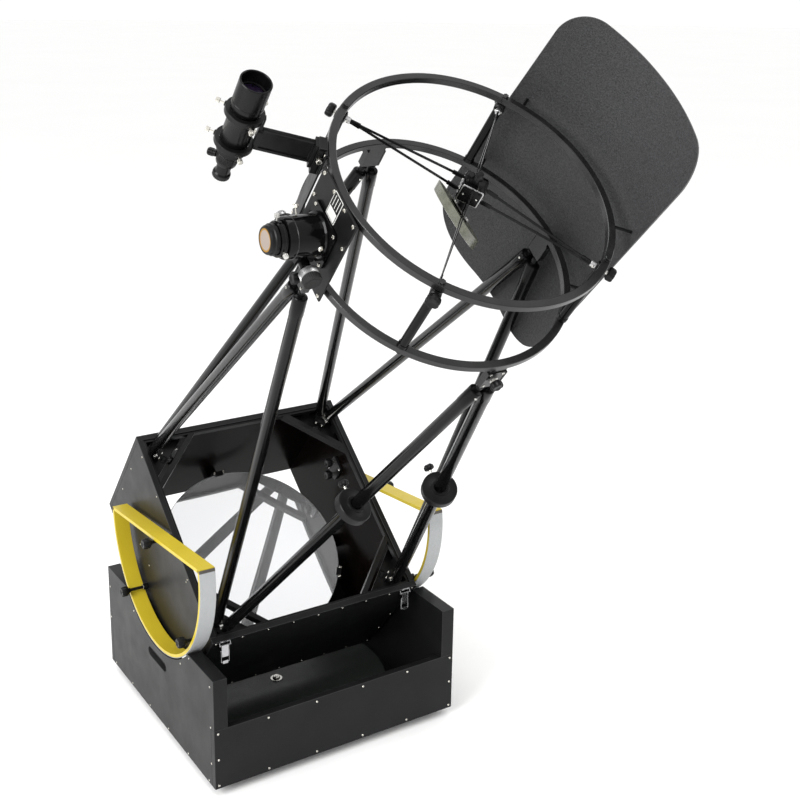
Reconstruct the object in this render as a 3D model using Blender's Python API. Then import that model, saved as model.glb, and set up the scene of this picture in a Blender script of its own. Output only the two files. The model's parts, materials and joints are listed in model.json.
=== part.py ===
"""Truss dobsonian telescope with a 508 mm f/3.6 mirror, in metres, +Z up.

The telescope stands on three feet and points 50 degrees above the horizon, towards -Y.
Parts of the optical tube are modelled in the tube's own frame: its origin is on the altitude
axis, its Z runs along the optical axis and its Y points to the back of the mirror box.
"""

from math import acos, asin, atan2, cos, degrees, hypot, pi, radians, sin, sqrt

import bmesh
import bpy
from mathutils import Matrix, Vector

GAP = 0.0003
RUNNING = 0.0004
ROUND = 28
FINE_ROUND = 40

# Ground board and azimuth pivot
FOOT_RADIUS = 0.022
FOOT_HEIGHT = 0.008
FOOT_CIRCLE = 0.306
FOOT_ANGLES = (180, 60, -60)
GROUND_RADIUS = 0.272
GROUND_THICK = 0.012
ARM_WIDTH = 0.054
PAD_THICK = 0.002
BOLT_RADIUS = 0.005
WASHER_RADIUS = 0.0165
WASHER_THICK = 0.002
NUT_RADIUS = 0.0085
NUT_HEIGHT = 0.007

# Rocker box
ROCKER_WIDTH = 0.690
ROCKER_DEPTH = 0.693
SIDE_THICK = 0.036
SIDE_HEIGHT = 0.290
BOARD_THICK = 0.018
BOARD_HEIGHT = 0.158
FLOOR_THICK = 0.010
DISC_RADIUS = 0.304
DISC_THICK = 0.0015
SLOT_LENGTH = 0.118
SLOT_HEIGHT = 0.026
SLOT_LEVEL = 0.176

# Altitude bearings
AXIS_HEIGHT = 0.4993
BEARING_RADIUS = 0.2868
BEARING_INNER_X = 0.3035
BEARING_OUTER_X = 0.3445
RIM_THICK = 0.008
FACING_THICK = 0.0012
CHORD_THICK = 0.009
CHORD_ANGLE = 134.5
CHORD_EXTRA_ANGLE = 4.2
CRADLE_CLEARANCE = 0.0037
CRADLE_PAD_LENGTH = 0.030
CRADLE_PAD_ANGLE = 37
LUG_RADIUS = 0.0150
LUG_LENGTH = 0.014
STEM_RADIUS = 0.0050
STEM_LENGTH = 0.0560
LOCK_KNOB_RADIUS = 0.0135
LOCK_KNOB_LENGTH = 0.0200
RIM_LUG_CIRCLE = 0.2660
RIM_LUG_ANGLES = (180, 270)
CHORD_LUG_DROP = 0.016

# Optical tube, heights along the optical axis from the altitude axis
TILT = 40
OPENING = 0.0218
BOX_DEPTH = 0.366
BOX_HALF_X = 0.2963
BOX_HALF_Y = 0.2990
WALL = 0.015
STRIP_WIDTH = 0.006
STRIP_DEPTH = 0.014
STRIP_DROP = 0.004
BRACE_LEG = 0.131
BRACE_WIDTH = 0.013
BRACE_DEPTH = 0.022
GUSSET_LEG = 0.112
GUSSET_TOP = -0.0125
GUSSET_THICK = 0.006
GUSSET_TAB_START = 0.055
GUSSET_TAB_END = 0.080
GUSSET_TAB_THICK = 0.0045

# Primary mirror and its cell
MIRROR_RADIUS = 0.254
MIRROR_THICK = 0.050
MIRROR_RIM = -0.213
FOCAL_LENGTH = 1.826
CELL_TUBE = 0.030
CELL_TOP = -0.272
CELL_RING_RADIUS = 0.170
CELL_POINT_RADIUS = 0.016
CELL_POINT_ANGLES = (90, 210, 330)

# Truss
POLE_RADIUS = 0.0140
POLE_BORE = 0.0128
POLE_HEEL_BORE = 0.0062
POLE_TIP_RADIUS = 0.0080
POLE_TIP_LENGTH = 0.0170
POLE_HEEL_LENGTH = 0.0380
POLE_TOP = 1.0540
POLE_FOOT = -0.0088
POLE_TOP_CIRCLE = 0.2875
POLE_TOP_SPREAD = 0.0103
POLE_FOOT_NEAR = 0.2543
POLE_FOOT_FAR = 0.2660

# Upper cage
RING_RADIUS = 0.2955
RING_WIDTH = 0.016
RING_HEIGHT = 0.0146
LOWER_RING_TOP = 1.1272
UPPER_RING_TOP = 1.3165
RING_STEPS = 72
POST_RADIUS = 0.0095
POST_ANGLE = 48.5
TRUSS_LUG_WIDTH = 0.056
TRUSS_LUG_DROP = 0.0563
SHIELD_RADIUS = 0.3400
SHIELD_OFFSET = -0.0180
SHIELD_LEAN = 3.0
SHIELD_SHIFT = 7.1
SHIELD_SKEW = 2.6
SHIELD_SKEW_LEVEL = 1.200
SHIELD_THICK = 0.0025
SHIELD_HALF_ANGLE = 38.5
SHIELD_BOTTOM = 0.843
SHIELD_TOP = 1.543
SHIELD_TOP_CORNER = 0.076
SHIELD_BOTTOM_CORNER = 0.160
SHIELD_PIN_RADIUS = 0.006
SHIELD_PIN_ANGLE = 33
SHIELD_STEPS = 12
CORNER_STEPS = 7

# Spider and secondary mirror
SECONDARY_LEVEL = 1.2086
SECONDARY_RADIUS = 0.0635
SECONDARY_THICK = 0.018
HOLDER_RADIUS = 0.028
HOLDER_THICK = 0.006
STALK_RADIUS = 0.011
HUB_SIDE = 0.048
HUB_BOTTOM = 1.2760
HUB_TOP = 1.3180
PIVOT_GAP = 0.0008
VANE_THICK = 0.0016
VANE_DEPTH = 0.0050
VANE_POST_LEVEL = 1.2890
VANE_SPREAD = 0.0160
VANE_BLOCK = 0.010

# Focuser
BOARD_INNER = 0.2960
FOCUS_BOARD_THICK = 0.0040
FOCUS_BOARD_FRONT = -0.077
FOCUS_BOARD_BACK = 0.069
FOCUS_BOARD_BOTTOM = 1.104
FOCUSER_BASE = 0.096
FOCUSER_BASE_THICK = 0.005
HOUSING_RADIUS = 0.041
HOUSING_LENGTH = 0.0760
DRAW_RADIUS = 0.0305
DRAW_BORE = 0.0255
DRAW_INNER_X = 0.288
COLLAR_START = 0.3830
COLLAR_END = 0.3955
COLLAR_RADIUS = 0.034
CAP_RADIUS = 0.030
CAP_LENGTH = 0.018
PINION_DROP = 0.0430
PINION_X = 0.3320
PINION_SHAFT = 0.003
PINION_BLOCK = 0.028
PINION_LENGTH = 0.0155
KNOB_RADIUS = 0.019
KNOB_START = 0.046
KNOB_LENGTH = 0.032
FINE_KNOB_RADIUS = 0.0115
FINE_KNOB_LENGTH = 0.014

# Finder
FINDER_ANGLE = 157
FINDER_PLATE_WIDTH = 0.050
FINDER_PLATE_THICK = 0.004
SHOE_WIDTH = 0.032
SHOE_DEPTH = 0.014
SHOE_BOTTOM = 1.256
SHOE_TOP = 1.322
STALK_WIDTH = 0.012
STALK_BOTTOM = 1.272
STALK_TOP = 1.320
FINDER_AXIS = 0.462
FINDER_RING_RADIUS = 0.037
FINDER_RING_BORE = 0.0305
FINDER_RING_HEIGHT = 0.011
FINDER_RING_LEVELS = (1.2756, 1.3485)
FINDER_BOTTOM = 1.183
FINDER_TOP = 1.423

# Counterweights and latches
WEIGHT_RADIUS = 0.041
WEIGHT_HEIGHT = 0.026
WEIGHT_PLACES = (0.432, 0.452)
WEIGHT_KNOB_RADIUS = 0.011
WEIGHT_KNOB_LENGTH = 0.009
WEIGHT_STEM_RADIUS = 0.003
WEIGHT_STEM_LENGTH = 0.012
LATCH_X = 0.262
LATCH_WIDTH = 0.024
LATCH_TOP = 0.006
LATCH_LENGTH = 0.048
LATCH_THICK = 0.007
LATCH_HINGE = 0.0055

# Derived levels
GROUND_BOTTOM = FOOT_HEIGHT + GAP
GROUND_TOP = GROUND_BOTTOM + GROUND_THICK
ROCKER_BOTTOM = GROUND_TOP + PAD_THICK + 2 * GAP
FLOOR_TOP = ROCKER_BOTTOM + FLOOR_THICK
DISC_BOTTOM = FLOOR_TOP + GAP
DISC_TOP = DISC_BOTTOM + DISC_THICK
SIDE_INNER = ROCKER_WIDTH / 2 - SIDE_THICK
BOARD_INNER_Y = ROCKER_DEPTH / 2 - BOARD_THICK
BOX_BOTTOM = OPENING - BOX_DEPTH
INNER_X = BOX_HALF_X - WALL
INNER_Y = BOX_HALF_Y - WALL
RING_INNER = RING_RADIUS - RING_WIDTH
RING_MIDDLE = RING_RADIUS - RING_WIDTH / 2
RIM_OUTER = BEARING_RADIUS - FACING_THICK - GAP
FOCUSER_X = BOARD_INNER + FOCUS_BOARD_THICK
HOUSING_X = FOCUSER_X + GAP + FOCUSER_BASE_THICK


def clear_scene():
    for obj in list(bpy.data.objects):
        bpy.data.objects.remove(obj)


def make_material(name, colour, roughness, metallic):
    material = bpy.data.materials.new(name)
    material.use_nodes = True
    shader = material.node_tree.nodes["Principled BSDF"]
    shader.inputs["Base Color"].default_value = (*colour, 1)
    shader.inputs["Roughness"].default_value = roughness
    shader.inputs["Metallic"].default_value = metallic
    material.diffuse_color = (*colour, 1)
    return material


def make_materials():
    finishes = {
        "black_laminate": ((0.030, 0.030, 0.032), 0.45, 0.0),
        "grey_laminate": ((0.10, 0.11, 0.10), 0.40, 0.0),
        "foot_nylon": ((0.75, 0.73, 0.65), 0.55, 0.0),
        "slide_pad": ((0.85, 0.85, 0.83), 0.50, 0.0),
        "bright_steel": ((0.62, 0.61, 0.59), 0.25, 1.0),
        "chrome": ((0.80, 0.80, 0.80), 0.10, 1.0),
        "yellow_paint": ((0.86, 0.66, 0.05), 0.38, 0.0),
        "bearing_facing": ((0.55, 0.56, 0.56), 0.50, 0.0),
        "black_powder": ((0.022, 0.022, 0.024), 0.42, 0.0),
        "mirror_coating": ((0.93, 0.93, 0.94), 0.02, 1.0),
        "mirror_glass": ((0.35, 0.38, 0.30), 0.30, 0.0),
        "black_anodised": ((0.020, 0.020, 0.022), 0.30, 0.6),
        "ring_anodised": ((0.09, 0.09, 0.095), 0.38, 0.7),
        "grain_plastic": ((0.035, 0.035, 0.036), 0.60, 0.0),
        "gloss_black": ((0.010, 0.010, 0.012), 0.12, 0.0),
        "cap_plastic": ((0.020, 0.020, 0.020), 0.35, 0.0),
        "knurled_knob": ((0.30, 0.30, 0.30), 0.35, 0.8),
        "black_plastic": ((0.018, 0.018, 0.019), 0.45, 0.0),
    }
    return {name: make_material(name, *values) for name, values in finishes.items()}


def make_object(name, mesh_builder, material, parent=None, matrix=None):
    """One named object from a bmesh; smooth shading with creases at its edges."""
    mesh = bpy.data.meshes.new(name)
    bmesh.ops.recalc_face_normals(mesh_builder, faces=mesh_builder.faces)
    mesh_builder.to_mesh(mesh)
    mesh_builder.free()
    mesh.shade_smooth()
    mesh.set_sharp_from_angle(angle=radians(32))
    if material:
        mesh.materials.append(material)
    obj = bpy.data.objects.new(name, mesh)
    bpy.context.scene.collection.objects.link(obj)
    obj.parent = parent
    if matrix:
        obj.matrix_local = matrix
    return obj


def make_empty(name, parent=None, location=(0, 0, 0), rotation=(0, 0, 0)):
    empty = bpy.data.objects.new(name, None)
    bpy.context.scene.collection.objects.link(empty)
    empty.parent = parent
    empty.location = location
    empty.rotation_euler = rotation
    return empty


def combine(obj, operation, helper):
    """Joins a helper solid to an object or cuts it away; the helper stays hidden."""
    helper.hide_render = True
    helper.display_type = "WIRE"
    modifier = obj.modifiers.new(helper.name, "BOOLEAN")
    modifier.operation = operation
    modifier.solver = "EXACT"
    modifier.object = helper


def placed_vert(builder, matrix, point):
    return builder.verts.new(matrix @ Vector(point))


def add_box(builder, low, high, matrix=Matrix()):
    corners = [
        placed_vert(builder, matrix, (x, y, z))
        for z in (low[2], high[2])
        for x, y in ((low[0], low[1]), (high[0], low[1]), (high[0], high[1]), (low[0], high[1]))
    ]
    builder.faces.new(corners[3::-1])
    builder.faces.new(corners[4:])
    for i in range(4):
        j = (i + 1) % 4
        builder.faces.new((corners[i], corners[j], corners[4 + j], corners[4 + i]))


def add_prism(builder, outline, bottom, top, matrix=Matrix()):
    """A closed outline in XY, carried from one height to another."""
    lower = [placed_vert(builder, matrix, (x, y, bottom)) for x, y in outline]
    upper = [placed_vert(builder, matrix, (x, y, top)) for x, y in outline]
    builder.faces.new(lower[::-1])
    builder.faces.new(upper)
    count = len(outline)
    for i in range(count):
        j = (i + 1) % count
        builder.faces.new((lower[i], lower[j], upper[j], upper[i]))


def add_lathe(builder, profile, steps=ROUND, matrix=Matrix()):
    """Turns a profile of (radius, height) points about Z. Both ends on the axis, or a closed loop."""
    closed = profile[0][0] > 0
    rings = []
    for radius, height in profile:
        if radius == 0:
            rings.append([placed_vert(builder, matrix, (0, 0, height))] * steps)
        else:
            turns = [2 * pi * i / steps for i in range(steps)]
            rings.append(
                [placed_vert(builder, matrix, (radius * cos(a), radius * sin(a), height)) for a in turns]
            )
    pairs = list(zip(rings, rings[1:]))
    if closed:
        pairs.append((rings[-1], rings[0]))
    for first, second in pairs:
        for i in range(steps):
            j = (i + 1) % steps
            corners = list(dict.fromkeys((first[i], first[j], second[j], second[i])))
            builder.faces.new(corners)


def add_cylinder(builder, radius, bottom, top, steps=ROUND, matrix=Matrix()):
    add_lathe(builder, [(0, bottom), (radius, bottom), (radius, top), (0, top)], steps, matrix)


def add_arc_bar(builder, inner, outer, start, end, steps, low_x, high_x):
    """A curved bar about the X axis, between two angles in the YZ plane."""
    sections = []
    for i in range(steps + 1):
        angle = radians(start + (end - start) * i / steps)
        sections.append(
            [
                builder.verts.new((x, radius * cos(angle), radius * sin(angle)))
                for x, radius in ((low_x, inner), (high_x, inner), (high_x, outer), (low_x, outer))
            ]
        )
    builder.faces.new(sections[0])
    builder.faces.new(sections[-1][::-1])
    for first, second in zip(sections, sections[1:]):
        for i in range(4):
            j = (i + 1) % 4
            builder.faces.new((first[i], first[j], second[j], second[i]))


def box_object(name, low, high, material, parent=None, matrix=None):
    builder = bmesh.new()
    add_box(builder, low, high)
    return make_object(name, builder, material, parent, matrix)


def lathe_object(name, profile, material, parent=None, matrix=None, steps=ROUND):
    builder = bmesh.new()
    add_lathe(builder, profile, steps)
    return make_object(name, builder, material, parent, matrix)


def cylinder_object(name, radius, bottom, top, material, parent=None, matrix=None, steps=ROUND):
    profile = [(0, bottom), (radius, bottom), (radius, top), (0, top)]
    return lathe_object(name, profile, material, parent, matrix, steps)


def along(start, direction):
    """The matrix that puts Z along a direction, from a start point."""
    turn = Vector(direction).to_track_quat("Z", "Y").to_matrix().to_4x4()
    return Matrix.Translation(start) @ turn


def outward(angle, radius=0.0, level=0.0):
    """A frame at an angle round the optical axis: Z points outwards, X stays along the optical axis."""
    a = radians(angle)
    out = Vector((cos(a), sin(a), 0))
    up = Vector((0, 0, 1))
    side = out.cross(up)
    turn = Matrix((up, side, out)).transposed().to_4x4()
    return Matrix.Translation(out * radius + up * level) @ turn


def make_ground(materials, frame):
    builder = bmesh.new()
    add_cylinder(builder, GROUND_RADIUS, GROUND_BOTTOM, GROUND_TOP, FINE_ROUND)
    board = make_object("ground_board", builder, materials["black_laminate"], frame)
    arms = bmesh.new()
    for angle in FOOT_ANGLES:
        turn = Matrix.Rotation(radians(angle), 4, "Z")
        reach = FOOT_CIRCLE + FOOT_RADIUS / 2
        low = (GROUND_RADIUS / 2, -ARM_WIDTH / 2, GROUND_BOTTOM)
        add_box(arms, low, (reach, ARM_WIDTH / 2, GROUND_TOP), turn)
    combine(board, "UNION", make_object("ground_board_arms", arms, None, frame))
    bore = cylinder_object("ground_board_bore", BOLT_RADIUS + GAP, 0, ROCKER_BOTTOM, None, frame)
    combine(board, "DIFFERENCE", bore)
    for number, angle in enumerate(FOOT_ANGLES, 1):
        place = Matrix.Rotation(radians(angle), 4, "Z") @ Matrix.Translation((FOOT_CIRCLE, 0, 0))
        name = f"foot_{number}"
        cylinder_object(name, FOOT_RADIUS, 0, FOOT_HEIGHT, materials["foot_nylon"], frame, place)
    washer = DISC_TOP + GAP
    profile = [
        (0, GROUND_BOTTOM),
        (BOLT_RADIUS, GROUND_BOTTOM),
        (BOLT_RADIUS, washer),
        (WASHER_RADIUS, washer),
        (WASHER_RADIUS, washer + WASHER_THICK),
        (NUT_RADIUS, washer + WASHER_THICK),
        (NUT_RADIUS, washer + WASHER_THICK + NUT_HEIGHT),
        (0, washer + WASHER_THICK + NUT_HEIGHT),
    ]
    lathe_object("azimuth_bolt", profile, materials["bright_steel"], frame)


def cradle_outline(radius):
    """The side panel's outline in (y, height): notched for the boards, with a round cradle on top."""
    half = ROCKER_DEPTH / 2
    notch = half - BOARD_THICK - GAP
    shelf = BOARD_HEIGHT + GAP
    reach = degrees(acos((AXIS_HEIGHT - SIDE_HEIGHT) / radius))
    steps = 24
    arc = []
    for i in range(steps + 1):
        angle = radians(-90 + reach - 2 * reach * i / steps)
        arc.append((radius * cos(angle), AXIS_HEIGHT + radius * sin(angle)))
    right = [(notch, 0), (notch, shelf), (half, shelf), (half, SIDE_HEIGHT)]
    left = [(-y, z) for y, z in reversed(right)]
    return left + right + arc


def make_rocker(materials, frame):
    black = materials["black_laminate"]
    turned = Matrix(((0, 0, 1, 0), (1, 0, 0, 0), (0, 1, 0, 0), (0, 0, 0, 1)))
    outline = cradle_outline(BEARING_RADIUS + CRADLE_CLEARANCE)
    for name, inner, outer in (
        ("rocker_side_left", -ROCKER_WIDTH / 2, -SIDE_INNER),
        ("rocker_side_right", SIDE_INNER, ROCKER_WIDTH / 2),
    ):
        builder = bmesh.new()
        add_prism(builder, outline, inner, outer, turned)
        side = make_object(name, builder, black, frame)
        slot = bmesh.new()
        reach = SLOT_LENGTH / 2 - SLOT_HEIGHT / 2
        ends = []
        for sign in (1, -1):
            for i in range(9):
                angle = radians(-90 + 22.5 * i) + (0 if sign > 0 else pi)
                y = sign * reach + SLOT_HEIGHT / 2 * cos(angle)
                ends.append((y, SLOT_LEVEL + SLOT_HEIGHT / 2 * sin(angle)))
        add_prism(slot, ends, inner - BOARD_THICK, outer + BOARD_THICK, turned)
        combine(side, "DIFFERENCE", make_object(name + "_slot", slot, None, frame))
    half = ROCKER_WIDTH / 2
    deep = ROCKER_DEPTH / 2
    box_object("rocker_front", (-half, -deep, 0), (half, -BOARD_INNER_Y, BOARD_HEIGHT), black, frame)
    box_object("rocker_back", (-half, BOARD_INNER_Y, 0), (half, deep, BOARD_HEIGHT), black, frame)
    x = SIDE_INNER - GAP
    y = BOARD_INNER_Y - GAP
    floor = box_object("rocker_floor", (-x, -y, 0), (x, y, FLOOR_THICK), black, frame)
    bore = cylinder_object("rocker_floor_bore", BOLT_RADIUS + RUNNING, -0.01, 0.03, None, frame)
    combine(floor, "DIFFERENCE", bore)
    low = FLOOR_THICK + GAP
    high = low + DISC_THICK
    hole = BOLT_RADIUS + RUNNING
    profile = [(hole, low), (DISC_RADIUS, low), (DISC_RADIUS, high), (hole, high)]
    lathe_object("azimuth_disc", profile, materials["grey_laminate"], frame, steps=FINE_ROUND)
    make_cradle_pads(materials, frame)


def make_cradle_pads(materials, frame):
    """Slide pads in the cradles, clear of the round surface behind them by their own sagitta."""
    cradle = BEARING_RADIUS + CRADLE_CLEARANCE
    sagitta = (CRADLE_PAD_LENGTH / 2) ** 2 / (2 * cradle)
    outer = cradle - sagitta - GAP
    inner = BEARING_RADIUS + GAP
    number = 0
    for side in (-1, 1):
        for end in (-1, 1):
            number += 1
            turn = Matrix.Translation((0, 0, AXIS_HEIGHT)) @ Matrix.Rotation(
                radians(end * CRADLE_PAD_ANGLE), 4, "X"
            )
            xs = sorted((side * (SIDE_INNER + 0.002), side * (ROCKER_WIDTH / 2 - 0.002)))
            low = (xs[0], -CRADLE_PAD_LENGTH / 2, -outer)
            high = (xs[1], CRADLE_PAD_LENGTH / 2, -inner)
            name = f"altitude_pad_{number}"
            box_object(name, low, high, materials["slide_pad"], frame, turn)


def make_bearings(materials, frame):
    """D-shaped bearings: a curved rim, a straight chord above the axis, and lugs with lock knobs."""
    start = CHORD_ANGLE - CHORD_EXTRA_ANGLE
    end = CHORD_ANGLE + 180 + CHORD_EXTRA_ANGLE
    rise = RIM_OUTER * sin(radians(CHORD_EXTRA_ANGLE))
    for name, side in (("left", -1), ("right", 1)):
        xs = sorted((side * BEARING_INNER_X, side * BEARING_OUTER_X))
        builder = bmesh.new()
        add_arc_bar(builder, RIM_OUTER - RIM_THICK, RIM_OUTER, start, end, 40, *xs)
        hoop = make_object(f"bearing_{name}", builder, materials["yellow_paint"], frame)
        chord = bmesh.new()
        turn = Matrix.Rotation(radians(CHORD_ANGLE), 4, "X")
        reach = (RIM_OUTER - RIM_THICK / 2) * cos(radians(CHORD_EXTRA_ANGLE))
        inset = 0.0002
        low = (xs[0] + inset, -reach, 0.0009 - rise)
        add_box(chord, low, (xs[1] - inset, reach, CHORD_THICK - rise), turn)
        combine(hoop, "UNION", make_object(f"bearing_{name}_chord", chord, None, frame))
        lugs = bmesh.new()
        face = side * (BOX_HALF_X + GAP)
        sweep = along((face, 0, 0), (side, 0, 0))
        tip = STEM_LENGTH + LOCK_KNOB_LENGTH
        lug = [
            (0, 0),
            (LUG_RADIUS, 0),
            (LUG_RADIUS, LUG_LENGTH),
            (STEM_RADIUS, LUG_LENGTH),
            (STEM_RADIUS, STEM_LENGTH),
            (LOCK_KNOB_RADIUS, STEM_LENGTH),
            (LOCK_KNOB_RADIUS, tip),
            (0, tip),
        ]
        places = [turn @ Vector((0, 0, CHORD_LUG_DROP - rise))]
        for angle in RIM_LUG_ANGLES:
            a = radians(angle)
            places.append(Vector((0, RIM_LUG_CIRCLE * cos(a), RIM_LUG_CIRCLE * sin(a))))
        for place in places:
            add_lathe(lugs, lug, 20, Matrix.Translation(place) @ sweep)
        combine(hoop, "UNION", make_object(f"bearing_{name}_lugs", lugs, None, frame))
        strip = bmesh.new()
        trim = 0.5
        inner = RIM_OUTER + GAP
        add_arc_bar(strip, inner, BEARING_RADIUS, start + trim, end - trim, 40, *xs)
        make_object(f"bearing_facing_{name}", strip, materials["bearing_facing"], frame)


def make_mirror_box(materials, frame):
    black = materials["black_laminate"]
    x = BOX_HALF_X
    y = BOX_HALF_Y
    inner = y - WALL
    box_object("mirror_box_front", (-x, -y, BOX_BOTTOM), (x, -inner, OPENING), black, frame)
    box_object("mirror_box_back", (-x, inner, BOX_BOTTOM), (x, y, OPENING), black, frame)
    inner -= GAP
    box_object("mirror_box_left", (-x, -inner, BOX_BOTTOM), (-x + WALL, inner, OPENING), black, frame)
    box_object("mirror_box_right", (x - WALL, -inner, BOX_BOTTOM), (x, inner, OPENING), black, frame)
    make_top_frame(materials, frame)


def make_top_frame(materials, frame):
    """Strips inside the opening, with 45 degree braces and the gussets that the poles stand on."""
    x = INNER_X - GAP
    y = INNER_Y - GAP
    top = OPENING - STRIP_DROP
    low = top - STRIP_DEPTH
    outer = [(-x, -y), (x, -y), (x, y), (-x, y)]
    builder = bmesh.new()
    rings = []
    for inset, level in ((0, low), (0, top), (STRIP_WIDTH, top), (STRIP_WIDTH, low)):
        ring = []
        for cx, cy in outer:
            px = cx - inset * (1 if cx > 0 else -1)
            py = cy - inset * (1 if cy > 0 else -1)
            ring.append(builder.verts.new((px, py, level)))
        rings.append(ring)
    for first, second in zip(rings, rings[1:] + rings[:1]):
        for i in range(4):
            j = (i + 1) % 4
            builder.faces.new((first[i], first[j], second[j], second[i]))
    strip = make_object("truss_frame", builder, materials["black_powder"], frame)
    corners = bmesh.new()
    for sx in (-1, 1):
        for sy in (-1, 1):
            flip = Matrix.Diagonal((sx, sy, 1, 1))
            cx = x - 0.001
            cy = y - 0.001
            plate = [(cx, cy), (cx - GUSSET_LEG, cy), (cx, cy - GUSSET_LEG)]
            add_prism(corners, plate, GUSSET_TOP - GUSSET_THICK, GUSSET_TOP, flip)
            near = GUSSET_TAB_START
            far = GUSSET_TAB_END
            thick = GUSSET_TAB_THICK
            low_tab = GUSSET_TOP - 0.002
            high_tab = top - 0.001
            add_box(corners, (cx - far, cy - thick, low_tab), (cx - near, cy, high_tab), flip)
            add_box(corners, (cx - thick, cy - far, low_tab), (cx, cy - near, high_tab), flip)
            wide = BRACE_LEG + BRACE_WIDTH * sqrt(2)
            brace = [(cx - BRACE_LEG, cy), (cx - wide, cy), (cx, cy - wide), (cx, cy - BRACE_LEG)]
            add_prism(corners, brace, top - BRACE_DEPTH, top - 0.0005, flip)
    helper = make_object("truss_frame_corners", corners, None, frame)
    combine(strip, "UNION", helper)
    strip.modifiers[-1].use_self = True


def mirror_profile():
    """A concave front face, its depth worked out from the focal length."""
    curve = 2 * FOCAL_LENGTH
    rings = 8
    profile = [(0, MIRROR_RIM - MIRROR_THICK), (MIRROR_RADIUS, MIRROR_RIM - MIRROR_THICK)]
    for i in range(rings + 1):
        radius = MIRROR_RADIUS * (1 - i / rings)
        depth = (MIRROR_RADIUS**2 - radius**2) / (2 * curve)
        profile.append((radius, MIRROR_RIM - depth))
    return profile


def make_mirror(materials, frame):
    profile = mirror_profile()
    lathe_object("primary_mirror", profile, materials["mirror_coating"], frame, steps=56)
    make_cell(materials, frame)


def make_cell(materials, frame):
    """A welded frame of square tube across the box, with a ring and three mirror supports."""
    x = INNER_X - GAP
    y = INNER_Y - GAP
    low = CELL_TOP - CELL_TUBE
    half = CELL_TUBE / 2
    builder = bmesh.new()
    add_box(builder, (-x, -half, low), (x, half, CELL_TOP))
    cell = make_object("mirror_cell", builder, materials["black_powder"], frame)
    cross = bmesh.new()
    add_box(cross, (-half, -y, low + 0.001), (half, y, CELL_TOP - 0.001))
    combine(cell, "UNION", make_object("mirror_cell_cross", cross, None, frame))
    ring = bmesh.new()
    inner = CELL_RING_RADIUS - half
    outer = CELL_RING_RADIUS + half
    levels = (low + 0.002, CELL_TOP - 0.002)
    profile = [(inner, levels[0]), (outer, levels[0]), (outer, levels[1]), (inner, levels[1])]
    add_lathe(ring, profile, 32)
    combine(cell, "UNION", make_object("mirror_cell_ring", ring, None, frame))
    points = bmesh.new()
    top = MIRROR_RIM - MIRROR_THICK - GAP
    for angle in CELL_POINT_ANGLES:
        a = radians(angle)
        place = Matrix.Translation((CELL_RING_RADIUS * cos(a), CELL_RING_RADIUS * sin(a), 0))
        add_cylinder(points, CELL_POINT_RADIUS, low - 0.012, top, 16, place)
    combine(cell, "UNION", make_object("mirror_cell_points", points, None, frame))


def pole_ends():
    """Foot and top of each pole: two poles stand in each corner and two meet at each ring lug."""
    ends = []
    for angle in (0, 90, 180, 270):
        turn = Matrix.Rotation(radians(angle), 4, "Z")
        for side in (-1, 1):
            top = turn @ Vector((POLE_TOP_CIRCLE, side * POLE_TOP_SPREAD, POLE_TOP))
            foot = turn @ Vector((POLE_FOOT_FAR, side * POLE_FOOT_NEAR, POLE_FOOT))
            ends.append((foot, top))
    return ends


def make_truss(materials, frame):
    for number, (foot, top) in enumerate(pole_ends(), 1):
        run = top - foot
        length = run.length
        shoulder = length - POLE_TIP_LENGTH
        profile = [
            (0, shoulder - 0.004),
            (POLE_BORE, shoulder - 0.004),
            (POLE_BORE, POLE_HEEL_LENGTH + 0.001),
            (POLE_HEEL_BORE, POLE_HEEL_LENGTH - 0.002),
            (POLE_HEEL_BORE, 0),
            (POLE_TIP_RADIUS, 0),
            (POLE_TIP_RADIUS, POLE_HEEL_LENGTH - 0.003),
            (POLE_RADIUS, POLE_HEEL_LENGTH),
            (POLE_RADIUS, shoulder),
            (POLE_TIP_RADIUS, shoulder + 0.003),
            (POLE_TIP_RADIUS, length),
            (0, length),
        ]
        name = f"truss_pole_{number}"
        lathe_object(name, profile, materials["black_anodised"], frame, along(foot, run), 20)


def make_rings(materials, frame):
    finish = materials["ring_anodised"]
    for name, top in (("lower_ring", LOWER_RING_TOP), ("upper_ring", UPPER_RING_TOP)):
        low = top - RING_HEIGHT
        profile = [(RING_INNER, low), (RING_RADIUS, low), (RING_RADIUS, top), (RING_INNER, top)]
        ring = lathe_object(name, profile, finish, frame, steps=RING_STEPS)
        if name == "lower_ring":
            lugs = bmesh.new()
            for angle in (0, 90, 180, 270):
                turn = Matrix.Rotation(radians(angle), 4, "Z")
                narrow = 0.002
                corner = (RING_INNER + narrow, -TRUSS_LUG_WIDTH / 2, low - TRUSS_LUG_DROP)
                far = (RING_RADIUS - narrow, TRUSS_LUG_WIDTH / 2, low + RING_HEIGHT / 2)
                add_box(lugs, corner, far, turn)
            combine(ring, "UNION", make_object("lower_ring_lugs", lugs, None, frame))
    low = LOWER_RING_TOP + GAP
    high = UPPER_RING_TOP - RING_HEIGHT - GAP
    for number, angle in enumerate(post_angles(), 1):
        a = radians(angle)
        place = Matrix.Translation((RING_MIDDLE * cos(a), RING_MIDDLE * sin(a), 0))
        name = f"cage_post_{number}"
        cylinder_object(name, POST_RADIUS, low, high, materials["black_anodised"], frame, place, 20)


def post_angles():
    return (180 - POST_ANGLE, POST_ANGLE, -POST_ANGLE, POST_ANGLE - 180)


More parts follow.
